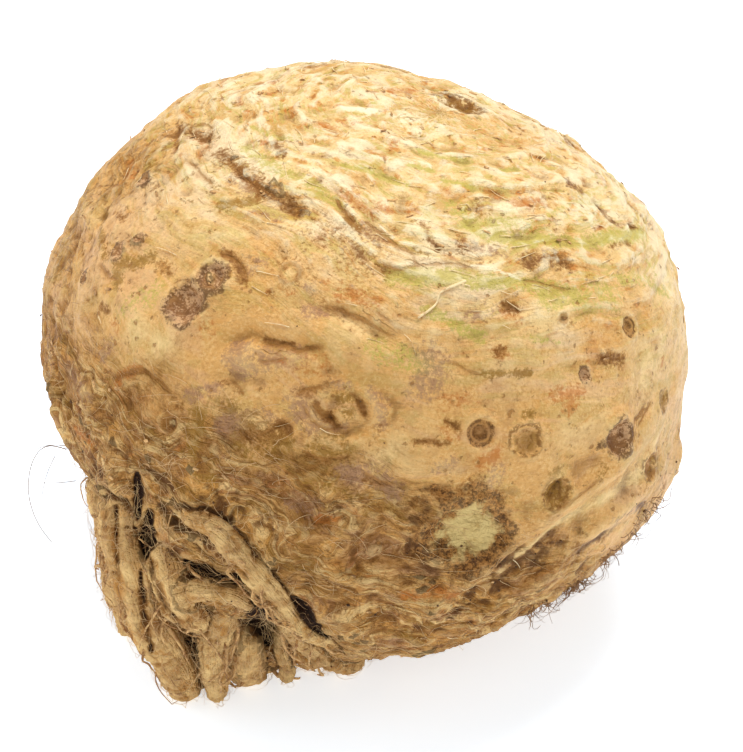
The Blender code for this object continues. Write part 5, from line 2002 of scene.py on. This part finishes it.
@dataclass(frozen=True)
class LooseHairs:
    """Single hairs that stand clear of the body; lengths in mm."""

    routes: tuple = (
        (0.12, ((-60, -14, 40), (-64, -16, 43), (-67, -18, 40), (-68, -20, 33), (-66, -22, 27),
                (-63, -24, 24))),
        (0.09, ((-59, -16, 42), (-62, -18, 44), (-65, -19, 44), (-68, -20, 42))),
        (0.09, ((-58, -18, 35), (-62, -19, 35), (-66, -20, 36))),
        (0.08, ((-62, -18, 41), (-64, -19, 37), (-65, -20, 32))),
        (0.09, ((36, -38, 27), (37, -41, 25), (37, -42, 20), (38, -42, 17))),
    )

    def build(self) -> bpy.types.Object:
        """The piece with every loose hair."""
        strands = []
        for radius, route in self.routes:
            line = smooth_line(route)
            taper = np.linspace(radius, radius * 0.4, len(line))
            strands.append(([Vector(point) for point in line], taper.tolist()))
        return tubes("loose_hairs", strands)


@dataclass(frozen=True)
class PaleRootlet:
    """One pale rootlet that lies on the front of the skin; lengths in mm."""

    places: tuple = ((23.1, 43.0), (20.6, 42.6), (16.4, 41.8), (15.2, 40.2), (13.0, 38.9), (10.4, 37.8))
    radii: tuple = (0.32, 0.26, 0.22, 0.2, 0.22, 0.24)
    lifts: tuple = (-0.1, 0.2, 0.3, 0.3, 0.4, 0.5)

    def build(self, ground: Ground) -> bpy.types.Object:
        """Lays the rootlet on the skin.

        Args:
            ground: the body's surface.

        Returns:
            The piece.
        """
        knots = []
        for place, radius, lift in zip(self.places, self.radii, self.lifts):
            spot, normal = ground.onto(*place)
            knots.append((*(spot + normal * lift), radius))
        line = rounded(np.array(knots), 6)
        return tubes("pale_rootlet", [([Vector(row[:3]) for row in line], line[:, 3].tolist())], 3)


@dataclass(frozen=True)
class Crumbs:
    """Crumbs of soil that lie in the hollows; sizes in mm."""

    name: str = "soil_crumbs"
    count: int = 900
    radii: tuple = (0.1, 0.42)
    shrink: tuple = (0.5, 1.0)
    stretch: tuple = (0.6, 1.3)
    sunk: float = 0.3

    def build(self, ground: Ground, rule: random.Random) -> bpy.types.Object:
        """Scatters the crumbs.

        Args:
            ground: the body's surface.
            rule: the seeded draws.

        Returns:
            The piece.
        """
        shell = bmesh.new()
        weights = crumb_zone(ground.masks)
        for start in ground.choose(rule, weights, self.count):
            radius = math.prod(draw(rule, self.radii, self.shrink))
            place = Vector(ground.points[start]) + Vector(ground.normals[start]) * radius * self.sunk
            place.z = max(place.z, radius * self.stretch[1])
            turn = Euler(draw(rule, *[(0.0, math.tau)] * 3)).to_matrix().to_4x4()
            shape = Matrix.Diagonal(draw(rule, *[self.stretch] * 3) + [1.0])
            matrix = Matrix.Translation(place * MM) @ turn @ shape
            bmesh.ops.create_icosphere(shell, subdivisions=1, radius=radius * MM, matrix=matrix)
        return from_bmesh(self.name, shell)


@dataclass(frozen=True)
class Flakes:
    """Thin curled flakes of dry skin; sizes in mm."""

    name: str = "skin_flakes"
    count: int = 420
    lengths: tuple = (0.6, 2.0)
    widths: tuple = (0.25, 0.7)
    curls: tuple = (-0.9, 0.9)
    thickness: float = 0.07
    lift: float = 0.12
    lifts: tuple = (0.0, 0.25)
    tilt: float = 0.25
    turn: float = 0.5
    pointed: float = 1.2
    hang: float = 0.08
    lowest: float = 0.2

    def build(self, ground: Ground, globe: Globe, rule: random.Random) -> bpy.types.Object:
        """Scatters the flakes, most of them along the rings.

        Args:
            ground: the body's surface.
            globe: the skin, whose crown the rings run round.
            rule: the seeded draws.

        Returns:
            The piece.
        """
        shell = bmesh.new()
        crown = Vector(direction(*globe.crown))
        for start in ground.choose(rule, flake_zone(ground.masks), self.count):
            normal = (Vector(ground.normals[start]) + random_vector(rule) * self.tilt).normalized()
            flow = crown.cross(normal).normalized() + random_vector(rule) * self.turn
            along = flow.cross(normal).normalized()
            across = normal.cross(along)
            length, width, curl, lift = draw(rule, self.lengths, self.widths, self.curls, self.lifts)
            sheet = bmesh.ops.create_grid(shell, x_segments=4, y_segments=2, size=0.5)["verts"]
            for vert in sheet:
                x, y = vert.co.x, vert.co.y * (1.0 - self.pointed * vert.co.x ** 2)
                bent = curl * (x ** 2 - self.hang) + (self.lift + lift)
                spot = Vector(ground.points[start]) + across * x * length + along * y * width
                spot += normal * bent
                vert.co = Vector((spot.x, spot.y, max(spot.z, self.lowest))) * MM
        bmesh.ops.recalc_face_normals(shell, faces=shell.faces)
        bmesh.ops.solidify(shell, geom=shell.faces[:], thickness=self.thickness * MM)
        bmesh.ops.recalc_face_normals(shell, faces=shell.faces)
        return from_bmesh(self.name, shell)


def smooth_line(route: tuple, steps: int = 6) -> np.ndarray:
    """A route with rounded corners.

    Args:
        route: its places.
        steps: how many points there are from one place to the next.

    Returns:
        The points.
    """
    corners = np.array(route, dtype=float)
    at = np.linspace(0.0, len(corners) - 1, (len(corners) - 1) * steps + 1)
    line = np.stack([np.interp(at, range(len(corners)), corners[:, axis]) for axis in range(3)], axis=1)
    for _ in range(steps * 2):
        line[1:-1] = (line[:-2] + 2.0 * line[1:-1] + line[2:]) / 4.0
    return line


# How far the fuzz and the rootlets reach round the tuft, in degrees, and the least share anywhere.
FUZZ_REACH = 20.0
TUFT_REACH = 34.0
SPARSE = 0.02


def fuzz_zone(masks: dict) -> np.ndarray:
    """Where the fuzz of fine root hairs grows: the root stubs and the skin just above them."""
    return masks["root"] * 0.8 + np.exp(-((masks["root_away"] / FUZZ_REACH) ** 2))


def fibre_zone(masks: dict) -> np.ndarray:
    """Where fibres lie on the skin: the root end outside the stubs."""
    return masks["fibrous"] * (1.0 - masks["root"]) + SPARSE


def crown_zone(masks: dict) -> np.ndarray:
    """Where torn fibres lie along the rings of the crown."""
    return masks["crown"] + SPARSE


def left_zone(masks: dict) -> np.ndarray:
    """Where short hairs stand out on the rough side."""
    return masks["rough"] ** 2 + 0.01


def beard_zone(masks: dict) -> np.ndarray:
    """Where a beard of dark hairs hangs low on the right."""
    return masks["beard"]


def crumb_zone(masks: dict) -> np.ndarray:
    """Where crumbs of soil lie: in hollows between the root stubs and on the soiled skin."""
    deep = ramp(masks["hollow"], 0.1, 1.2)
    soiled = deep * (masks["root"] + masks["soil"] + 0.5 * masks["fibrous"])
    return soiled + SPARSE * masks["soil"] + 0.001


def flake_zone(masks: dict) -> np.ndarray:
    """Where flakes of dry skin stand up: on the crown, the rough side, the brown stains and the roots."""
    stained = 0.5 * masks["brown"] + 0.4 * masks["fibrous"] + 0.3 * masks["root"]
    return 0.5 * masks["crown"] + 0.4 * masks["rough"] + stained + SPARSE


def tuft_zone(masks: dict) -> np.ndarray:
    """Where rootlets grow: among the root stubs and on the root end."""
    return masks["root"] * np.exp(-((masks["root_away"] / TUFT_REACH) ** 2)) + SPARSE * masks["root"]


HAIR_FIELDS = (
    HairField("root_fuzz", 2000, (2.5, 10.0), (0.03, 0.075), fuzz_zone, curl=1.1, lift=(0.1, 1.6)),
    HairField("skin_fibres", 1100, (3.0, 10.0), (0.03, 0.08), fibre_zone, curl=0.5, lift=(0.0, 0.12),
              flowing=1.6, outward=0.0),
    HairField("rootlets", 60, (6.0, 18.0), (0.14, 0.45), tuft_zone, steps=10, curl=0.4, lift=(0.2, 1.6),
              outward=0.4, droop=1.0, clinging=0.75, knobs=0.22, roundness=2, downward=1.6),
    HairField("crown_fibres", 300, (2.0, 6.0), (0.08, 0.16), crown_zone, curl=0.2, lift=(0.0, 0.15),
              flowing=4.0, outward=0.0),
    HairField("side_hairs", 260, (0.8, 2.6), (0.03, 0.05), left_zone, curl=0.6, outward=1.4,
              clinging=0.0),
    HairField("beard_hairs", 170, (2.0, 8.0), (0.05, 0.13), beard_zone, curl=1.3, outward=1.0,
              droop=0.5, clinging=0.25),
)


@dataclass
class Studio:
    """A white floor, soft light from the upper right and behind, and the viewer's camera."""

    elevation: float = 33.0
    distance: float = 700.0
    pixels_per_mm: float = 4.9
    picture_height: int = 752
    sensor: float = 36.0
    target: tuple = (1.9, 1.0, 55.5)
    drop: float = 6.3
    floor_size: float = 4000.0
    floor_parts: int = 8
    floor_roughness: float = 0.9
    floor_colour: tuple = linear(226, 238, 250)
    floor_glow: float = 0.61
    glow_colour: tuple = (0.93, 0.965, 1.0, 1.0)
    world_strength: float = 0.34
    nearest: float = 10.0
    lights: tuple = (
        ("key", (130.0, 150.0, 730.0), 380.0, 4.25),
        ("left", (-600.0, 40.0, 330.0), 460.0, 1.45),
        ("front", (-160.0, -620.0, 380.0), 500.0, 0.8),
        ("side", (600.0, -60.0, 300.0), 360.0, 0.65),
    )

    def build(self) -> None:
        """Sets the floor, the lights, the surroundings and the camera."""
        self.add_floor()
        for name, place, size, power in self.lights:
            self.add_light(name, Vector(place), size, power)
        world = bpy.data.worlds.new("studio")
        world.use_nodes = True
        inputs = world.node_tree.nodes["Background"].inputs
        inputs["Color"].default_value = WHITE
        inputs["Strength"].default_value = self.world_strength
        scene = bpy.context.scene
        scene.world = world
        scene.view_settings.view_transform = "Standard"
        scene.camera = self.add_camera()

    def add_camera(self) -> bpy.types.Object:
        """The camera at the viewer's place."""
        tilt = math.radians(self.elevation)
        forward = Vector((0.0, math.cos(tilt), -math.sin(tilt)))
        upward = Vector((0.0, math.sin(tilt), math.cos(tilt)))
        lens = bpy.data.cameras.new("viewer")
        lens.sensor_width = self.sensor
        lens.lens = self.sensor * self.pixels_per_mm * self.distance / self.picture_height
        lens.clip_start, lens.clip_end = self.nearest * MM, self.floor_size * MM
        camera = bpy.data.objects.new("viewer", lens)
        bpy.context.scene.collection.objects.link(camera)
        target = Vector(self.target) - upward * self.drop
        camera.location = (target - forward * self.distance) * MM
        camera.rotation_euler = forward.to_track_quat("-Z", "Y").to_euler()
        return camera

    def add_floor(self) -> None:
        """A plain pale floor under the celeriac."""
        sheet, parts = bmesh.new(), self.floor_parts
        bmesh.ops.create_grid(sheet, x_segments=parts, y_segments=parts, size=self.floor_size * MM / 2)
        floor = from_bmesh("floor", sheet)
        nodes = Nodes("floor_paint")
        nodes.coat("Base Color", self.floor_colour)
        nodes.coat("Roughness", self.floor_roughness)
        nodes.coat("Emission Color", self.glow_colour)
        nodes.coat("Emission Strength", self.floor_glow)
        floor.data.materials.append(nodes.material)

    def add_light(self, name: str, place: Vector, size: float, power: float) -> None:
        """A soft square light aimed at the celeriac.

        Args:
            name: its name.
            place: where it stands, in mm.
            size: its side, in mm.
            power: its watts.
        """
        lamp = bpy.data.lights.new(name, "AREA")
        lamp.size = size * MM
        lamp.energy = power
        light = bpy.data.objects.new(name, lamp)
        bpy.context.scene.collection.objects.link(light)
        light.location = place * MM
        aim = Vector(self.target) - place
        light.rotation_euler = aim.to_track_quat("-Z", "Y").to_euler()


def finishes() -> dict:
    """The finish of each piece, by the piece's name."""
    fuzz, fibre = HairFinish().material(), HairFinish("fibre", darkness=(0.45, 0.75)).material()
    bark, soil = BarkFinish("rootlet_bark"), BarkFinish("soil", linear(120, 82, 46), linear(52, 32, 18))
    flake = BarkFinish("dry_skin", linear(226, 178, 116), linear(120, 76, 38), (0.4, 0.66), 320.0)
    peel = HairFinish("peel", linear(246, 222, 170), linear(196, 150, 96)).material()
    dark = HairFinish("dark_hair", linear(158, 118, 76), linear(84, 58, 34)).material()
    return {
        "swollen_root": SkinFinish().material(), "root_fuzz": fuzz, "skin_fibres": fibre,
        "crown_fibres": peel, "side_hairs": dark, "beard_hairs": dark, "loose_hairs": dark,
        "pale_rootlet": peel, "rootlets": bark.material(), "soil_crumbs": soil.material(),
        "skin_flakes": flake.material(),
    }


def main() -> None:
    """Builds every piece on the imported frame, in order, and reports each."""
    logging.basicConfig(level=logging.INFO, format="%(message)s")
    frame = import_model()
    globe = Globe()
    maker = SwollenRoot(globe, RootRoutes(globe), Relief())
    body = maker.build(frame["nodes"][NODE])
    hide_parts(NODE)
    pieces = [
        body, LooseHairs().build(), PaleRootlet().build(maker.ground),
        Crumbs().build(maker.ground, random.Random(SEED + 11)),
        Flakes().build(maker.ground, globe, random.Random(SEED + 12)),
    ]
    for number, field in enumerate(HAIR_FIELDS):
        pieces.append(field.build(maker.ground, globe, random.Random(SEED + 20 + number)))
    looks = finishes()
    for piece in pieces:
        piece.data.materials.clear()
        piece.data.materials.append(looks[piece.name])
        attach(piece, BODY)
        LOG.info("%s: %d faces", piece.name, len(piece.data.polygons))
    Studio().build()


if __name__ == "__main__":
    main()
